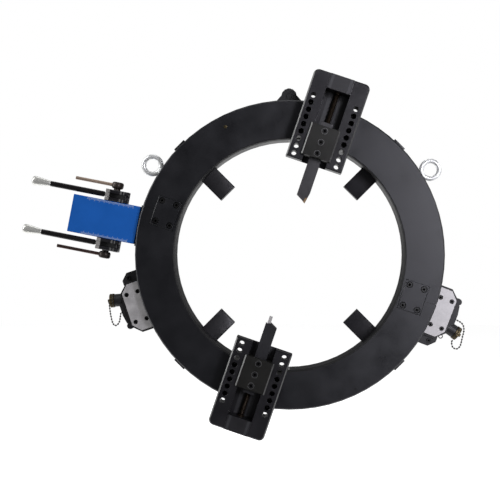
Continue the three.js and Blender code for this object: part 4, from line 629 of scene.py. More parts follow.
def slide_bearing(side, place):
    plate = bar((BEARING_START + HAIRLINE, SLIDE_OUTER), half(CHANNEL_WIDTH - 2 * HAIRLINE),
                (SEAT_GAP, SLIDE_TOP), BEARING_CHAMFER)
    screw_hole = peg(FEED_RADIUS + BORE_GAP, BEARING_START - OVERRUN, STAR_START, 28, "X", FEED_AXIS)
    journal_hole = peg(FEED_JOURNAL_RADIUS + BORE_GAP, STAR_START - OVERRUN, SLIDE_OUTER + OVERRUN,
                       28, "X", FEED_AXIS)
    pocket = box((STAR_START - STAR_CLEARANCE, STAR_END + STAR_CLEARANCE), half(2 * STAR_SPACE),
                 (-OVERRUN, FEED_HEIGHT + STAR_SPACE))
    plate = cut(cut(cut(plate, screw_hole), journal_hole), pocket)
    piece(f"slide_bearing_{side}", plate, place, PLATE_BLACK, "rotor", GROUND_BEVEL,
          (f"slide_end_plate_{side}",))
    # Painted highlight: flat grey strips stand in for the bearing block's chamfers catching the lamps
    length = (BEARING_START + LIT_CHAMFER_MARGINS[0], SLIDE_OUTER - LIT_CHAMFER_MARGINS[1])
    depth = (SLIDE_TOP - HAIRLINE, SLIDE_TOP + LIT_CHAMFER_STAND)
    lit_chamfers = [box(length, y, depth) for y in both_sides(LIT_CHAMFER_EDGES)]
    piece(f"slide_bearing_lit_chamfers_{side}", gather(lit_chamfers), place, PAINTED_LIGHT_GREY, "rotor")


def feed_screw(side, place):
    collar_start = BEARING_START - FEED_COLLAR_LENGTH
    rod = thread(FEED_RADIUS, FEED_THREAD_DEPTH, FEED_PITCH, FEED_START,
                 collar_start - 2 * HAIRLINE, FEED_AXIS)
    collar = peg(FEED_COLLAR_RADIUS, collar_start, BEARING_START, 32, "X", FEED_AXIS)
    step = STAR_START - SEAT_GAP
    journal = turned([(FEED_RADIUS, BEARING_START), (FEED_RADIUS, step), (FEED_JOURNAL_RADIUS, step),
                      (FEED_JOURNAL_RADIUS, SLIDE_OUTER)], 32, "X", FEED_AXIS)
    piece(f"feed_rod_{side}", gather([rod, collar, journal]), place, DARK_BRONZE, f"{side}_feed", 0,
          (f"feed_screw_{side}",))
    dress(f"star_wheel_{side}", SCREW_BLACK, GROUND_BEVEL)


def tool_block(side, place):
    inner = BLOCK_INNER[side]
    outer = inner + BLOCK_LENGTH
    wall, head = CHANNEL_WIDTH / 2 - SEAT_GAP, BLOCK_HEAD_WIDTH / 2
    bottom = CHANNEL_FLOOR + SEAT_GAP
    right = [(wall, bottom), (wall, BLOCK_HEAD_BOTTOM), (head, BLOCK_HEAD_BOTTOM),
             (head, BLOCK_TOP - BLOCK_CHAMFER), (head - BLOCK_CHAMFER, BLOCK_TOP)]
    section = right + [(-y, z) for y, z in reversed(right)]
    block = pushed([(inner, y, z) for y, z in section], (BLOCK_LENGTH, 0, 0))
    middle = (inner + outer) / 2
    places = [(middle + (i - (BLOCK_SCREWS - 1) / 2) * BLOCK_SCREW_PITCH, 0) for i in range(BLOCK_SCREWS)]
    feed_hole = peg(FEED_RADIUS + BORE_GAP, inner - OVERRUN, outer + OVERRUN, 28, "X", FEED_AXIS)
    bit_slot = box((inner - OVERRUN, outer + OVERRUN), half(BIT_WIDTH + 2 * SEAT_GAP),
                   (BIT_BOTTOM - SEAT_GAP, BIT_TOP + SEAT_GAP))
    recesses = [peg(BLOCK_RECESS_RADIUS, BLOCK_RECESS_FLOOR, BLOCK_TOP + OVERRUN, 40, centre=(x, y, 0))
                for x, y in places]
    body = f"{side}_tool"
    made = piece(f"tool_holder_{side}", cut(block, feed_hole, bit_slot, *recesses), place, BLOCK_BLACK,
                 body, FINE_BEVEL, (f"tool_block_{side}",))
    # Painted highlight, partly wear: the holder's long top chamfers get lighter bare steel
    painted_highlight_chamfers(made, place, BLOCK_HEAD_WIDTH / 2 - BLOCK_CHAMFER - FINE_BEVEL)
    screw = cap_screw(BLOCK_SCREW_RADIUS, BLOCK_RECESS_FLOOR, BLOCK_SCREW_TOP, *BLOCK_SOCKET)
    screws_at(f"tool_holder_screws_{side}", places, screw, place, body, SCREW_BEVEL)
    collar_bore, collar_rim = BLOCK_COLLAR
    collar = cut(peg(collar_rim, BLOCK_RECESS_FLOOR, BLOCK_COLLAR_TOP, 40),
                 peg(collar_bore, BLOCK_RECESS_FLOOR - OVERRUN, BLOCK_TOP + OVERRUN, 40))
    copies_at(f"tool_holder_collars_{side}", places, collar, place, WORN_EDGE_AND_HIGHLIGHT, body)


def bevel_bit(place, outer):
    """The slanted bit, whose carbide insert stands a little proud of its point."""
    edge = BIT_WIDTH / 2
    inner = BLOCK_INNER["upper"] - BEVEL_BIT_REACH
    slant_end = inner - BEVEL_BIT_SLANT
    point = slant_end - BEVEL_TIP_LENGTH
    point_y, back_y = BEVEL_TIP_WIDTH - edge, BEVEL_TIP_WIDTH / 2 - edge
    outline = [(outer, -edge), (outer, edge), (inner, edge), (slant_end, 0), (point, point_y),
               (inner, back_y), (inner + BEVEL_BIT_RELIEF, -edge)]
    insert = [(point, point_y - HAIRLINE), (point + INSERT_SLANTS[0], point_y + INSERT_WIDTHS[0]),
              (inner - INSERT_SLANTS[1], back_y + INSERT_WIDTHS[1]), (inner, back_y - HAIRLINE)]
    piece("cutter_insert_upper", slab(insert, BIT_BOTTOM - 2 * HAIRLINE, BIT_TOP + INSERT_RISE), place,
          CARBIDE, "upper_tool")
    piece("cutter_upper", slab(outline, BIT_BOTTOM, BIT_TOP), place, PALE_STEEL, "upper_tool", GROUND_BEVEL,
          ("tool_bit_upper",))


def parting_bit(place, outer):
    """The narrow bit, with its bare blade and the bright face ground along its shoulder."""
    edge = BIT_WIDTH / 2
    inner = BLOCK_INNER["lower"] - PARTING_BIT_REACH
    tip = inner - PARTING_BLADE_LENGTH
    low, high = PARTING_BLADE_EDGES
    shoulder = (inner - PARTING_SHOULDER, high)
    corner = (inner + PARTING_SHOULDER / 2, edge)
    outline = [(outer, -edge), (outer, edge), corner, shoulder, (tip, high), (tip, low), (inner, low),
               (inner - PARTING_SHOULDER / 2, -edge)]
    top = BIT_TOP + 2 * HAIRLINE
    blade = [(tip - HAIRLINE, high + HAIRLINE), (tip - HAIRLINE, low - HAIRLINE),
             (tip + BLADE_GREY_LENGTHS[0], low - HAIRLINE), (tip + BLADE_GREY_LENGTHS[1], high + HAIRLINE)]
    piece("cutter_blade_lower", slab(blade, BIT_BOTTOM - 2 * HAIRLINE, top), place, BLADE_GREY,
          "lower_tool")
    near = [(shoulder[0] - EDGE_FACE_INSET, high + EDGE_FACE_INSET), (corner[0] - EDGE_FACE_INSET, edge)]
    face = near + [(x + EDGE_FACE_WIDTH, y) for x, y in reversed(near)]
    piece("cutter_edge_lower", slab(face, BIT_TOP - EDGE_FACE_DEPTH, top), place, PALE_STEEL,
          "lower_tool")
    piece("cutter_lower", slab(outline, BIT_BOTTOM, BIT_TOP), place, TOOL_STEEL, "lower_tool", GROUND_BEVEL,
          ("tool_bit_lower",))


for side, angle in SLIDE_ANGLES.items():
    slide_place = radial(angle) @ Matrix.Translation((0, SLIDE_OFFSET, 0))
    slide_rails(side, slide_place)
    slide_bearing(side, slide_place)
    feed_screw(side, slide_place)
    tool_block(side, slide_place)
    bit = bevel_bit if side == "upper" else parting_bit
    bit(slide_place, BLOCK_INNER[side] + BLOCK_LENGTH + BIT_TAIL)

# Rotating ring: its bore is duller than its face, and its face has a plug and two set screws
BORE_LIMIT = (BORE_RADIUS + 5.5) / METRE
FACE_LIMIT = 0.9
PLUG_PLACE = (116.4, 286.5)
PLUG_PROFILE = [(3.4, -0.5), (3.4, 0.25), (2.9, 0.45)]
SET_SCREWS = {"upper": (116.4, 302, 1.7), "lower": (296.4, 298, 2.2)}
SET_SCREW_SPAN = (-0.5, 0.12)

for part_side in SIDES:
    dress(f"rotor_half_{part_side}", RING_BLACK)
    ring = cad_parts[f"rotor_half_{part_side}"].data
    ring.materials.append(BORE_BLACK)
    for polygon in ring.polygons:
        x, _, z = polygon.center
        if abs(polygon.normal.y) < FACE_LIMIT and math.hypot(x, z) < BORE_LIMIT:
            polygon.material_index = 1
plug_angle, plug_radius = PLUG_PLACE
piece("ring_plug", turned(PLUG_PROFILE, 32, centre=(plug_radius, 0, 0)), radial(plug_angle), CAP_BRASS,
      "rotor")
for part_side, (angle, place_radius, screw_radius) in SET_SCREWS.items():
    small = peg(screw_radius, *SET_SCREW_SPAN, 24, centre=(place_radius, 0, 0))
    piece(f"ring_set_screw_{part_side}", small, radial(angle), SCREW_BLACK, "rotor")

# Joint plates across the rotating ring's split
JOINT_PLATE_START = BORE_RADIUS + 4.5
JOINT_PLATE_LENGTH = 48
JOINT_PLATE_WIDTH = 60
JOINT_PLATE_BOTTOM = -5
JOINT_PLATE_TOP = 2
JOINT_PLATE_CORNER = 1.5
JOINT_PLATE_CHAMFER = 0.8
JOINT_SCREW_SPACING = (30, 43)
JOINT_RECESS_RADIUS = 6.5
JOINT_RECESS_FLOOR = -2
JOINT_SCREW_RADIUS = 5.8
JOINT_SCREW_TOP = 1
JOINT_SOCKET = (2.7, 2.6)


def joint_plate(name, angle):
    plate = box((JOINT_PLATE_START, JOINT_PLATE_START + JOINT_PLATE_LENGTH), half(JOINT_PLATE_WIDTH),
                (JOINT_PLATE_BOTTOM, JOINT_PLATE_TOP))
    upright = along(2)
    bevelled(plate, JOINT_PLATE_CORNER, upright)
    bevelled(plate, JOINT_PLATE_CHAMFER, lambda edge: not upright(edge))
    middle = JOINT_PLATE_START + JOINT_PLATE_LENGTH / 2
    places = [(middle + x, y) for x in half(JOINT_SCREW_SPACING[0]) for y in half(JOINT_SCREW_SPACING[1])]
    recesses = [peg(JOINT_RECESS_RADIUS, JOINT_RECESS_FLOOR, OVERRUN, 36, centre=(x, y, 0))
                for x, y in places]
    piece(f"joint_cover_{name}", cut(plate, *recesses), radial(angle), RING_BLACK, "rotor", FINE_BEVEL,
          (f"joint_plate_{name}",))
    screw = cap_screw(JOINT_SCREW_RADIUS, JOINT_RECESS_FLOOR, JOINT_SCREW_TOP, *JOINT_SOCKET)
    screws_at(f"joint_screws_{name}", places, screw, radial(angle), "rotor", SCREW_BEVEL)


joint_plate("left", SPLIT_ANGLE)
joint_plate("right", SPLIT_ANGLE + 180)

# Stationary ring with its hinge, closure, rollers and legs
for name in ("stator_left", "stator_right", "hinge_pin"):
    dress(name, FRAME_BLACK)
dress("closure_bolt", ZINC)
for i in range(1, len(LEG_ANGLES) + 1):
    dress(f"roller_{i}", BRIGHT_STEEL)
    dress(f"leg_{i}", SLIDE_BLACK, MILLED_BEVEL)
    dress(f"leg_screw_{i}", ZINC)
    dress(f"leg_cap_{i}", FRAME_BLACK, COVER_BEVEL)

# Screws of the leg guides and the rollers' studs in the stationary ring's back, drawn with z towards
# the back
GUIDE_SCREW_CIRCLES = (252, 296)
GUIDE_SCREW_SPREAD = 5
GUIDE_SCREW_RADIUS = 5
GUIDE_SCREW_HEIGHT = 1.6
GUIDE_SOCKET = (2.5, 1.7)
STUD_CIRCLE = 252.5
STUD_PROFILE = [(5, -1), (5, 6.4), (4.3, 7)]
NUT_RADIUS = 9.5
NUT_HOLE_RADIUS = 5.2
NUT_HEIGHT = 5
BURIED = 1

guide_places = [spot for angle in LEG_ANGLES for radius in GUIDE_SCREW_CIRCLES
                for spot in around(radius, (angle - GUIDE_SCREW_SPREAD, angle + GUIDE_SCREW_SPREAD))]
guide_screw = cap_screw(GUIDE_SCREW_RADIUS, STATOR_REAR - BURIED, STATOR_REAR + GUIDE_SCREW_HEIGHT,
                        *GUIDE_SOCKET)
screws_at("guide_screws", guide_places, guide_screw, MACHINE_BACK, "frame", SMALL_SCREW_BEVEL)
stud_places = around(STUD_CIRCLE, [-angle for angle in reversed(ROLLER_ANGLES)])
nut = cut(peg(NUT_RADIUS, STATOR_REAR - BURIED, STATOR_REAR + NUT_HEIGHT, 6),
          peg(NUT_HOLE_RADIUS, STATOR_REAR - OVERRUN, STATOR_REAR + NUT_HEIGHT + OVERRUN, 28))
copies_at("stud_nuts", stud_places, nut, MACHINE_BACK, SCREW_BLACK, "frame", FINE_BEVEL)
stud = turned([(radius, STATOR_REAR + z) for radius, z in STUD_PROFILE], 28)
copies_at("stud_ends", stud_places, stud, MACHINE_BACK, ZINC, "frame")

# Lifting eyes; the collar's profile is measured from its seat on the boss
EYE_ANGLES = {"left": 146.8, "right": 31.0}
EYE_COLLAR_HEIGHT = 6
EYE_RING_RADIUS = 18
EYE_BAR_RADIUS = 5
EYE_PROFILE = [(5, -16.8), (5, 0), (12.5, 0), (12.5, 2), (11.2, 3.7), (7.5, 5.3), (5.4, 7.7)]

for name, angle in EYE_ANGLES.items():
    eye = torus(EYE_RING_RADIUS, EYE_BAR_RADIUS,
                (BOSS_SEAT + EYE_COLLAR_HEIGHT + EYE_RING_RADIUS, 0, -LEG_DEPTH))
    collar = turned(EYE_PROFILE, 40, "X", (BOSS_SEAT, 0, -LEG_DEPTH))
    piece(f"lifting_eye_{name}", gather([eye, collar]), radial(angle), EYE_STEEL, "frame", 0,
          (f"eye_bolt_{name}",), smooth=50)

# Drive units, each drawn with x outwards and y around the ring
DRIVE_ANGLES = {"left": 198.8, "right": 339.1}
PINION_CENTRE = 320
JOURNAL_POCKET_RADIUS = 7.6
JOURNAL_POCKET_DEPTH = 3
COVER_FRONT = -25
COVER_REAR = -30
COVER_HALF_LENGTH = 49
COVER_FLAT_HALF_LENGTH = 33
COVER_CORNER = RING_RADIUS + 23
COVER_EDGE = RING_RADIUS + 38
COVER_SCREW_PLACES = [(RING_RADIUS + reach, y) for reach in (5.5, 29.4) for y in (-29, 29)]
COVER_RECESS_RADIUS = 4.6
COVER_RECESS_FLOOR = COVER_FRONT - 2.5
COVER_SCREW_RADIUS = 4.3
COVER_SCREW_TOP = COVER_FRONT - 0.2
COVER_SOCKET = (2.1, 1.8)
DRUM_SEGMENTS = 288
LOBE_FRONT = COVER_REAR - SEAT_GAP - 5
LOBE_SCREW_PLACE = (RING_RADIUS + 16, -61)
LOBE_SCREW_RADIUS = 5.2
LOBE_SCREW_TOP = LOBE_FRONT + 1.9
LOBE_SOCKET = (2.5, 1.6)


def gear_cover(side, place):
    outline = [
        (RING_RADIUS - FLANGE_OVERHANG, -COVER_HALF_LENGTH),
        (COVER_CORNER, -COVER_HALF_LENGTH),
        (COVER_EDGE, -COVER_FLAT_HALF_LENGTH),
        (COVER_EDGE, COVER_FLAT_HALF_LENGTH),
        (COVER_CORNER, COVER_HALF_LENGTH),
        (RING_RADIUS - FLANGE_OVERHANG, COVER_HALF_LENGTH),
    ]
    drum = peg(DRUM_RADIUS + BORE_GAP, COVER_REAR - OVERRUN, COVER_FRONT + OVERRUN, DRUM_SEGMENTS)
    journal = peg(JOURNAL_POCKET_RADIUS, COVER_REAR - OVERRUN, COVER_REAR + JOURNAL_POCKET_DEPTH, 40,
                  centre=(PINION_CENTRE, 0, 0))
    recesses = [peg(COVER_RECESS_RADIUS, COVER_RECESS_FLOOR, COVER_FRONT + OVERRUN, 28, centre=(x, y, 0))
                for x, y in COVER_SCREW_PLACES]
    cover = cut(slab(outline, COVER_REAR, COVER_FRONT), drum, journal, *recesses)
    piece(f"gear_cover_{side}", cover, place, COVER_STEEL, "frame", COVER_BEVEL, (f"drive_cover_{side}",))
    screw = cap_screw(COVER_SCREW_RADIUS, COVER_RECESS_FLOOR, COVER_SCREW_TOP, *COVER_SOCKET)
    screws_at(f"gear_cover_screws_{side}", COVER_SCREW_PLACES, screw, place, "frame", SMALL_SCREW_BEVEL)


def drive_housing(side, place):
    dress(f"drive_housing_{side}", CAST_BLACK)
    screw = cap_screw(LOBE_SCREW_RADIUS, LOBE_FRONT - 2 * HAIRLINE, LOBE_SCREW_TOP, *LOBE_SOCKET)
    screws_at(f"lobe_screws_{side}", [LOBE_SCREW_PLACE], screw, place, "frame", SMALL_SCREW_BEVEL)
    dress(f"pinion_{side}", GROUND_STEEL)
    dress(f"motor_{side}", CAST_BLACK, MOTOR_BEVEL)


# Dust caps, drawn with x along the drive's leaning neck from the neck's end
NECK_END = (RING_RADIUS + 60, -26.3, -50)
NECK_LEAN = -14
CAP_PROFILE = [(13.4, 0.3), (14.2, 1), (14.2, 2.6), (13.4, 2.9), (13.4, 3.6), (14.2, 4), (14.2, 8.8),
               (13, 9.8)]
CAP_SEGMENTS = 96
CAP_BEVEL = 0.15
CAP_RIDGE_SEGMENTS = 6
CAP_RIDGE_DEPTH = 0.6
CAP_RIDGE_SPAN = (3.8, 9)
CAP_BORE_RADIUS = 8.6
CAP_BORE_DEPTH = 6.3
CAP_EYE_RADIUS = 3.5
CAP_EYE_HOLE_RADIUS = 1.4
CAP_EYE_SPAN = (9.8, 14.3)
CAP_EYE_HOLE = 12.4
CAP_RING = (13.7, 0.7)
CAP_RING_PLACE = (3.25, 0, 0)


def press_ridges(cap):
    """Sinks every other strip of the cap's band, which leaves its ridges standing."""
    start, end = CAP_RIDGE_SPAN
    for vert in cap.verts:
        if start < vert.co.x < end:
            outwards = Vector((0, vert.co.y, vert.co.z)).normalized()
            corner = round(math.atan2(outwards.z, outwards.y) / (2 * math.pi) * CAP_SEGMENTS)
            if corner % CAP_RIDGE_SEGMENTS < CAP_RIDGE_SEGMENTS / 2:
                vert.co -= outwards * CAP_RIDGE_DEPTH


def dust_cap(side, place):
    neck = place @ Matrix.Translation(NECK_END) @ Matrix.Rotation(math.radians(NECK_LEAN), 4, "Z")
    shell = turned(CAP_PROFILE, CAP_SEGMENTS, "X")
    press_ridges(shell)
    shell = cut(shell, peg(CAP_BORE_RADIUS, -OVERRUN, CAP_BORE_DEPTH, 40, "X"))
    eye = cut(peg(CAP_EYE_RADIUS, *CAP_EYE_SPAN, 28, "X"),
              peg(CAP_EYE_HOLE_RADIUS, -OVERRUN, OVERRUN, 20, "Y", (CAP_EYE_HOLE, 0, 0)))
    piece(f"cap_{side}", gather([shell, eye]), neck, CAP_BRASS, "frame", CAP_BEVEL, (f"dust_cap_{side}",),
          smooth=40)
    piece(f"cap_ring_{side}", torus(*CAP_RING, CAP_RING_PLACE, 48, 10, "X"), neck, RUBBER, "frame")


# Bead chains. A route's points are distances outwards from the housing's outer face and around the
# ring from the neck's end.
CHAIN_ROUTES = {
    "right": [(0.4, 23.6), (5.5, 23.6), (12.5, 22.6), (18.5, 20), (22.6, 15.3), (25.2, 9.6), (26.4, 3.8),
              (26.9, -1.7), (27.6, -6.7), (28.4, -11.7), (29, -16.7), (29.4, -22.2), (27.9, -27.7),
              (24.5, -31.3), (19.5, -31.7), (14.8, -29.3), (10.4, -20.8), (11.6, -16)],
    "left": [(0.4, 28.3), (4.2, 28.4), (8.2, 35), (11.7, 42.1), (15.8, 46.8), (20, 49.2), (24, 49.2),
             (26.4, 46.3), (27.3, 41.9), (27.3, 36.9), (26.7, 31.4), (26, 25.8), (25.2, 20.4), (22.8, 9),
             (20.8, 0.7)],
}
HOUSING_FACE = RING_RADIUS + 52
BEAD_RADIUS = 1.95
BEAD_PITCH = 5.6
LINK_RADIUS = 0.8
LINK_LENGTH = 1.2
CURVE_STEPS = 20


def smooth_route(points, step):
    """Points a step apart along a smooth curve through the given ones."""
    dense = []
    padded = [points[0], *points, points[-1]]
    for a, b, c, d in zip(padded, padded[1:], padded[2:], padded[3:]):
        for i in range(CURVE_STEPS):
            t = i / CURVE_STEPS
            dense.append(0.5 * ((2 * b) + (c - a) * t + (2 * a - 5 * b + 4 * c - d) * t * t
                                + (3 * b - a - 3 * c + d) * t ** 3))
    dense.append(points[-1])
    kept, gone = [dense[0]], 0.0
    for near, far in zip(dense, dense[1:]):
        gone += (far - near).length
        if gone >= step:
            kept.append(far)
            gone -= step
    return kept


def bead_chain(side, place):
    _, neck_y, neck_z = NECK_END
    route = [Vector((HOUSING_FACE + out, neck_y + around_ring, neck_z))
             for out, around_ring in CHAIN_ROUTES[side]]
    chain = bmesh.new()
    for centre in smooth_route(route, BEAD_PITCH):
        bmesh.ops.create_icosphere(chain, subdivisions=2, radius=BEAD_RADIUS,
                                   matrix=Matrix.Translation(centre))
    fine = smooth_route(route, LINK_LENGTH)
    for near, far in zip(fine, fine[1:]):
        aim = (far - near).to_track_quat("Z", "Y").to_matrix().to_4x4()
        bmesh.ops.create_cone(chain, cap_ends=True, cap_tris=False, segments=6, radius1=LINK_RADIUS,
                              radius2=LINK_RADIUS, depth=(far - near).length,
                              matrix=Matrix.Translation((near + far) / 2) @ aim)
    piece(f"chain_beads_{side}", chain, place, CHAIN_STEEL, "frame", 0, (f"bead_chain_{side}",),
          smooth=60)


for side, angle in DRIVE_ANGLES.items():
    drive_place = radial(angle)
    gear_cover(side, drive_place)
    drive_housing(side, drive_place)
    dust_cap(side, drive_place)
    bead_chain(side, drive_place)

# The small ring that hangs from the edge of the right housing
SPLIT_RING = (3.7, 1.0)
SPLIT_RING_PLACE = (RING_RADIUS + 34.6, -44.6, -33)
piece("split_ring", torus(*SPLIT_RING, SPLIT_RING_PLACE, 40, 12), radial(DRIVE_ANGLES["right"]),
      CHAIN_STEEL, "frame", smooth=60)

# Trip tower, drawn with x outwards along it and y across it
TOWER_ANGLE = 169
TOWER_END = BOSS_SEAT + 138.7
TOWER_WIDTH = 77
TOWER_FRONT = -16
TOWER_REAR = -40
TOWER_CHAMFER = 1.5
FOOT_LENGTH = 12
FOOT_FRONT = TOWER_FRONT - 4
FOOT_REAR = -72
GROOVE_DEPTH = 6
GROOVE_WIDTH = 8

# The tower's plain scale: ticks along both edges, and a line beside them
TICKS = 39
TICK_START = BOSS_SEAT + 14.7
TICK_PITCH = 2.5
TICK_WIDTH = 0.7
TICK_LENGTH = 2.6
LONG_TICK_LENGTH = 4.6
LONG_TICK_EVERY = 4
SCALE_EDGE = 36.3
SCALE_LINE_WIDTH = 0.6


def trip_tower(place):
    plate = bar((BOSS_SEAT, TOWER_END), half(TOWER_WIDTH), (TOWER_REAR, TOWER_FRONT), TOWER_CHAMFER)
    foot = bar((BOSS_SEAT, BOSS_SEAT + FOOT_LENGTH), half(TOWER_WIDTH), (FOOT_REAR, FOOT_FRONT),
               TOWER_CHAMFER)
    edge = TOWER_WIDTH / 2
    middle = (TOWER_FRONT + TOWER_REAR) / 2
    grooves = [box((BOSS_SEAT + FOOT_LENGTH / 2, TOWER_END + OVERRUN), y,
                   (middle - GROOVE_WIDTH / 2, middle + GROOVE_WIDTH / 2))
               for y in both_sides((edge - GROOVE_DEPTH, edge + OVERRUN))]
    piece("tower_plate", cut(join(plate, foot), *grooves), place, TOWER_BLUE, "frame", GROUND_BEVEL,
          ("trip_tower",))


def tower_scale(place):
    depth = (TOWER_FRONT - HAIRLINE, TOWER_FRONT + HAIRLINE)
    marks = []
    for sign in SIDES.values():
        for i in range(TICKS):
            x = TICK_START + TICK_PITCH * i
            length = TICK_LENGTH if i % LONG_TICK_EVERY else LONG_TICK_LENGTH
            marks.append(box((x - TICK_WIDTH / 2, x + TICK_WIDTH / 2),
                             (sign * SCALE_EDGE, sign * (SCALE_EDGE - length)), depth))
        marks.append(box((TICK_START - TICK_WIDTH / 2, x + TICK_WIDTH / 2),
                         (sign * SCALE_EDGE, sign * (SCALE_EDGE + SCALE_LINE_WIDTH)), depth))
    piece("tower_scale", gather(marks), place, MARK_PALE, "frame")


# Trip blocks and their levers
TRIP_START = BOSS_SEAT + 29.7
TRIP_END = TRIP_START + 46
TRIP_FRONT = -14
TRIP_FACE = TOWER_WIDTH / 2 + SEAT_GAP
TRIP_OUTER_FACE = TRIP_FACE + 23
LEVER_Y = TRIP_FACE + 11.2
SLOT_WIDTH = 9
TRIP_LINES = ((7.5, 10), (13, 16.5))
PAD_LENGTH = 8
PAD_MARGIN = 0.2
LINE_MARGINS = (0.4, 0.1)
SADDLE_WIDTH = 8
LEVER_AXIS = -24
LEVER_ROD_RADIUS = 5.5
ROD_START = TRIP_START + 50
ROD_END = ROD_START + 111
SLEEVE_THICKNESS = 0.06
SLEEVE_MARGINS = (0.1, 0.25)
KNOB_START = ROD_END + SEAT_GAP
KNOB_PROFILE = [(5.2, 0), (5.6, 0.6), (6.3, 7.7), (7.4, 15.7), (8.5, 23.7), (9.3, 29.7), (9.5, 32.7),
                (9.1, 35.5), (7.6, 37.6), (5, 38.7)]

# Clamp levers; the hub's profile is measured from the trip block's outer face
CLAMP_X = TRIP_START + 28
CLAMP_AXIS = -38
HUB_PROFILE = [(4, -6), (4, 0.3), (7, 0.3), (7, 3.4), (9.4, 3.7), (11.2, 5), (12, 7.2), (12, 13.6),
               (11.2, 15.6), (9.4, 16.9), (6.8, 17.3)]
CLAMP_ROD_Y = TRIP_OUTER_FACE + 10.3
CLAMP_ROD_RADIUS = 3.4
CLAMP_ROD_CHAMFER = 0.4
CLAMP_ROD_START = CLAMP_X + 10
CLAMP_RODS = {"upper": (88, LEVER_TAN), "lower": (100, LEVER_BROWN)}


def mirrored(sign, y):
    return sign * y[0], sign * y[1]


def trip_block(side, sign, place):
    """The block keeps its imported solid, and gets the lines and the bare pad on its front face."""
    dress(f"trip_block_{side}", SLIDE_BLACK, MILLED_BEVEL)
    edge, slot = LINE_MARGINS
    faces = ((TRIP_FACE + edge, LEVER_Y - SLOT_WIDTH / 2 - slot),
             (LEVER_Y + SLOT_WIDTH / 2 + slot, TRIP_OUTER_FACE - edge))
    depth = (TRIP_FRONT - HAIRLINE, TRIP_FRONT + INLAY)
    lines = [(TRIP_START + start, TRIP_START + end) for start, end in TRIP_LINES]
    pad = (TRIP_END - PAD_MARGIN - PAD_LENGTH, TRIP_END - PAD_MARGIN)
    for name, lengths, metal in (("block_lines", lines, PAD_DARK), ("block_pads", [pad], PAD_GREY)):
        marks = [box(x, mirrored(sign, y), depth) for x in lengths for y in faces]
        piece(f"{name}_{side}", gather(marks), place, metal, f"{side}_trip")
    saddle = box(pad, mirrored(sign, (LEVER_Y - SADDLE_WIDTH / 2, LEVER_Y + SADDLE_WIDTH / 2)),
                 (LEVER_AXIS + LEVER_ROD_RADIUS - 2 * HAIRLINE, TRIP_FRONT + INLAY))
    piece(f"lever_saddle_{side}", saddle, place, PAD_GREY, f"{side}_trip_lever", SADDLE_BEVEL)


def trip_lever(side, sign, place):
    dress(f"trip_lever_{side}", SCREW_BLACK)
    axis = (0, sign * LEVER_Y, LEVER_AXIS)
    before, beyond = SLEEVE_MARGINS
    sleeve = peg(LEVER_ROD_RADIUS + SLEEVE_THICKNESS, ROD_START - before, ROD_END + beyond, 64, "X", axis)
    piece(f"lever_rod_{side}", sleeve, place, LEVER_BLACK, f"{side}_trip_lever")
    knob = turned([(radius, KNOB_START + x) for radius, x in KNOB_PROFILE], 48, "X", axis)
    piece(f"knob_{side}", knob, place, KNOB_STEEL, f"{side}_trip_lever", 0, (f"lever_knob_{side}",),
          smooth=40)


def clamp_lever(side, sign, place):
    profile = [(radius, sign * (TRIP_OUTER_FACE + y)) for radius, y in HUB_PROFILE]
    hub = turned(profile, 56, "Y", (CLAMP_X, 0, CLAMP_AXIS))
    piece(f"clamp_hub_{side}", hub, place, HUB_BRONZE, f"{side}_clamp_lever", 0,
          (f"clamp_lever_{side}",), smooth=40)
    length, metal = CLAMP_RODS[side]
    end = CLAMP_X + length
    rod = turned([(CLAMP_ROD_RADIUS, CLAMP_ROD_START), (CLAMP_ROD_RADIUS, end - CLAMP_ROD_CHAMFER),
                  (CLAMP_ROD_RADIUS - CLAMP_ROD_CHAMFER, end)], 40, "X",
                 (0, sign * CLAMP_ROD_Y, CLAMP_AXIS))
    piece(f"clamp_rod_{side}", rod, place, metal, f"{side}_clamp_lever")


tower_place = radial(TOWER_ANGLE)
trip_tower(tower_place)
tower_scale(tower_place)
for side, sign in SIDES.items():
    trip_block(side, sign, tower_place)
    trip_lever(side, sign, tower_place)
    clamp_lever(side, sign, tower_place)


# Lights, world and ground, in metres


def area_light(name, place, target, size, power, colour=(1, 1, 1), spread=180):
    data = bpy.data.lights.new(name, "AREA")
    data.shape = "RECTANGLE"
    data.size, data.size_y = size
    data.energy = power
    data.color = colour
    data.spread = math.radians(spread)
    made = bpy.data.objects.new(name, data)
    bpy.context.scene.collection.objects.link(made)
    made.location = place
    made.rotation_euler = (Vector(target) - Vector(place)).to_track_quat("-Z", "Y").to_euler()


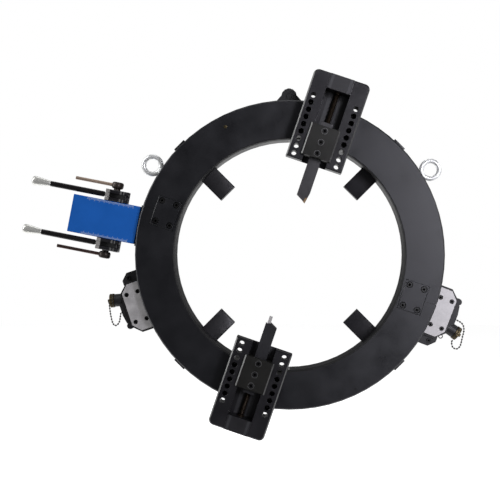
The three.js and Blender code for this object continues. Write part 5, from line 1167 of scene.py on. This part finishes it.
area_light("key", place=(-1.9, -1.1, 1.9), target=(0, 0, 0.1), size=(0.9, 0.9), power=24)
area_light("side", place=(-2.3, -0.35, 0.8), target=(0, 0, 0), size=(0.7, 1.4), power=29)
area_light("slate", place=(1.2, -2.0, 0.45), target=(0.36, 0, 0.08), size=(0.8, 1.2), power=4.8,
           colour=(0.94, 0.93, 1), spread=42)
area_light("top", place=(0, 0.9, 2.4), target=(0, 0, 0), size=(1.6, 1.0), power=12)
area_light("rim", place=(2.2, 1.2, 1.0), target=(0, 0, 0), size=(1.2, 1.2), power=14)

# The world looks white, but lights the machine less, so that its black stays black
WORLD_LEVELS = {"Is Diffuse Ray": 0.5, "Is Glossy Ray": 0.12}

world = bpy.data.worlds.new("studio")
bpy.context.scene.world = world
world.use_nodes = True
sky = world.node_tree
sky.nodes["Background"].inputs["Color"].default_value = (1, 1, 1, 1)
rays = node(sky, "ShaderNodeLightPath")
shade = sky.nodes["Background"].outputs["Background"]
for ray, level in WORLD_LEVELS.items():
    dimmed = node(sky, "ShaderNodeBackground", Color=(level, level, level, 1))
    mixed = node(sky, "ShaderNodeMixShader")
    sky.links.new(rays.outputs[ray], mixed.inputs["Fac"])
    sky.links.new(shade, mixed.inputs[1])
    sky.links.new(dimmed.outputs["Background"], mixed.inputs[2])
    shade = mixed.outputs["Shader"]
sky.links.new(shade, sky.nodes["World Output"].inputs["Surface"])

GROUND_WIDTH = 12
GROUND_FRONT = -0.2
GROUND_BACK = 6
GROUND_LEVEL = -0.62
GROUND_GLOW = 0.52

ground_bm = bmesh.new()
ground_size = Matrix.Diagonal((GROUND_WIDTH, GROUND_BACK - GROUND_FRONT, 1, 1))
ground_middle = Matrix.Translation((0, (GROUND_BACK + GROUND_FRONT) / 2, GROUND_LEVEL))
bmesh.ops.create_grid(ground_bm, x_segments=1, y_segments=1, size=0.5, matrix=ground_middle @ ground_size)
ground_mesh = bpy.data.meshes.new("ground")
ground_bm.to_mesh(ground_mesh)
ground_bm.free()
ground = bpy.data.objects.new("ground", ground_mesh)
bpy.context.scene.collection.objects.link(ground)
pale = finish("pale_floor", (0.97, 0.97, 0.97), 0.8, 0.0, mottle=0.01, grain=0.0, spread=0.02)
pale_shader = pale.node_tree.nodes["Principled BSDF"]
pale_shader.inputs["Emission Color"].default_value = (1, 1, 1, 1)
pale_shader.inputs["Emission Strength"].default_value = GROUND_GLOW
ground.data.materials.append(pale)

bpy.context.scene.view_settings.view_transform = "Standard"
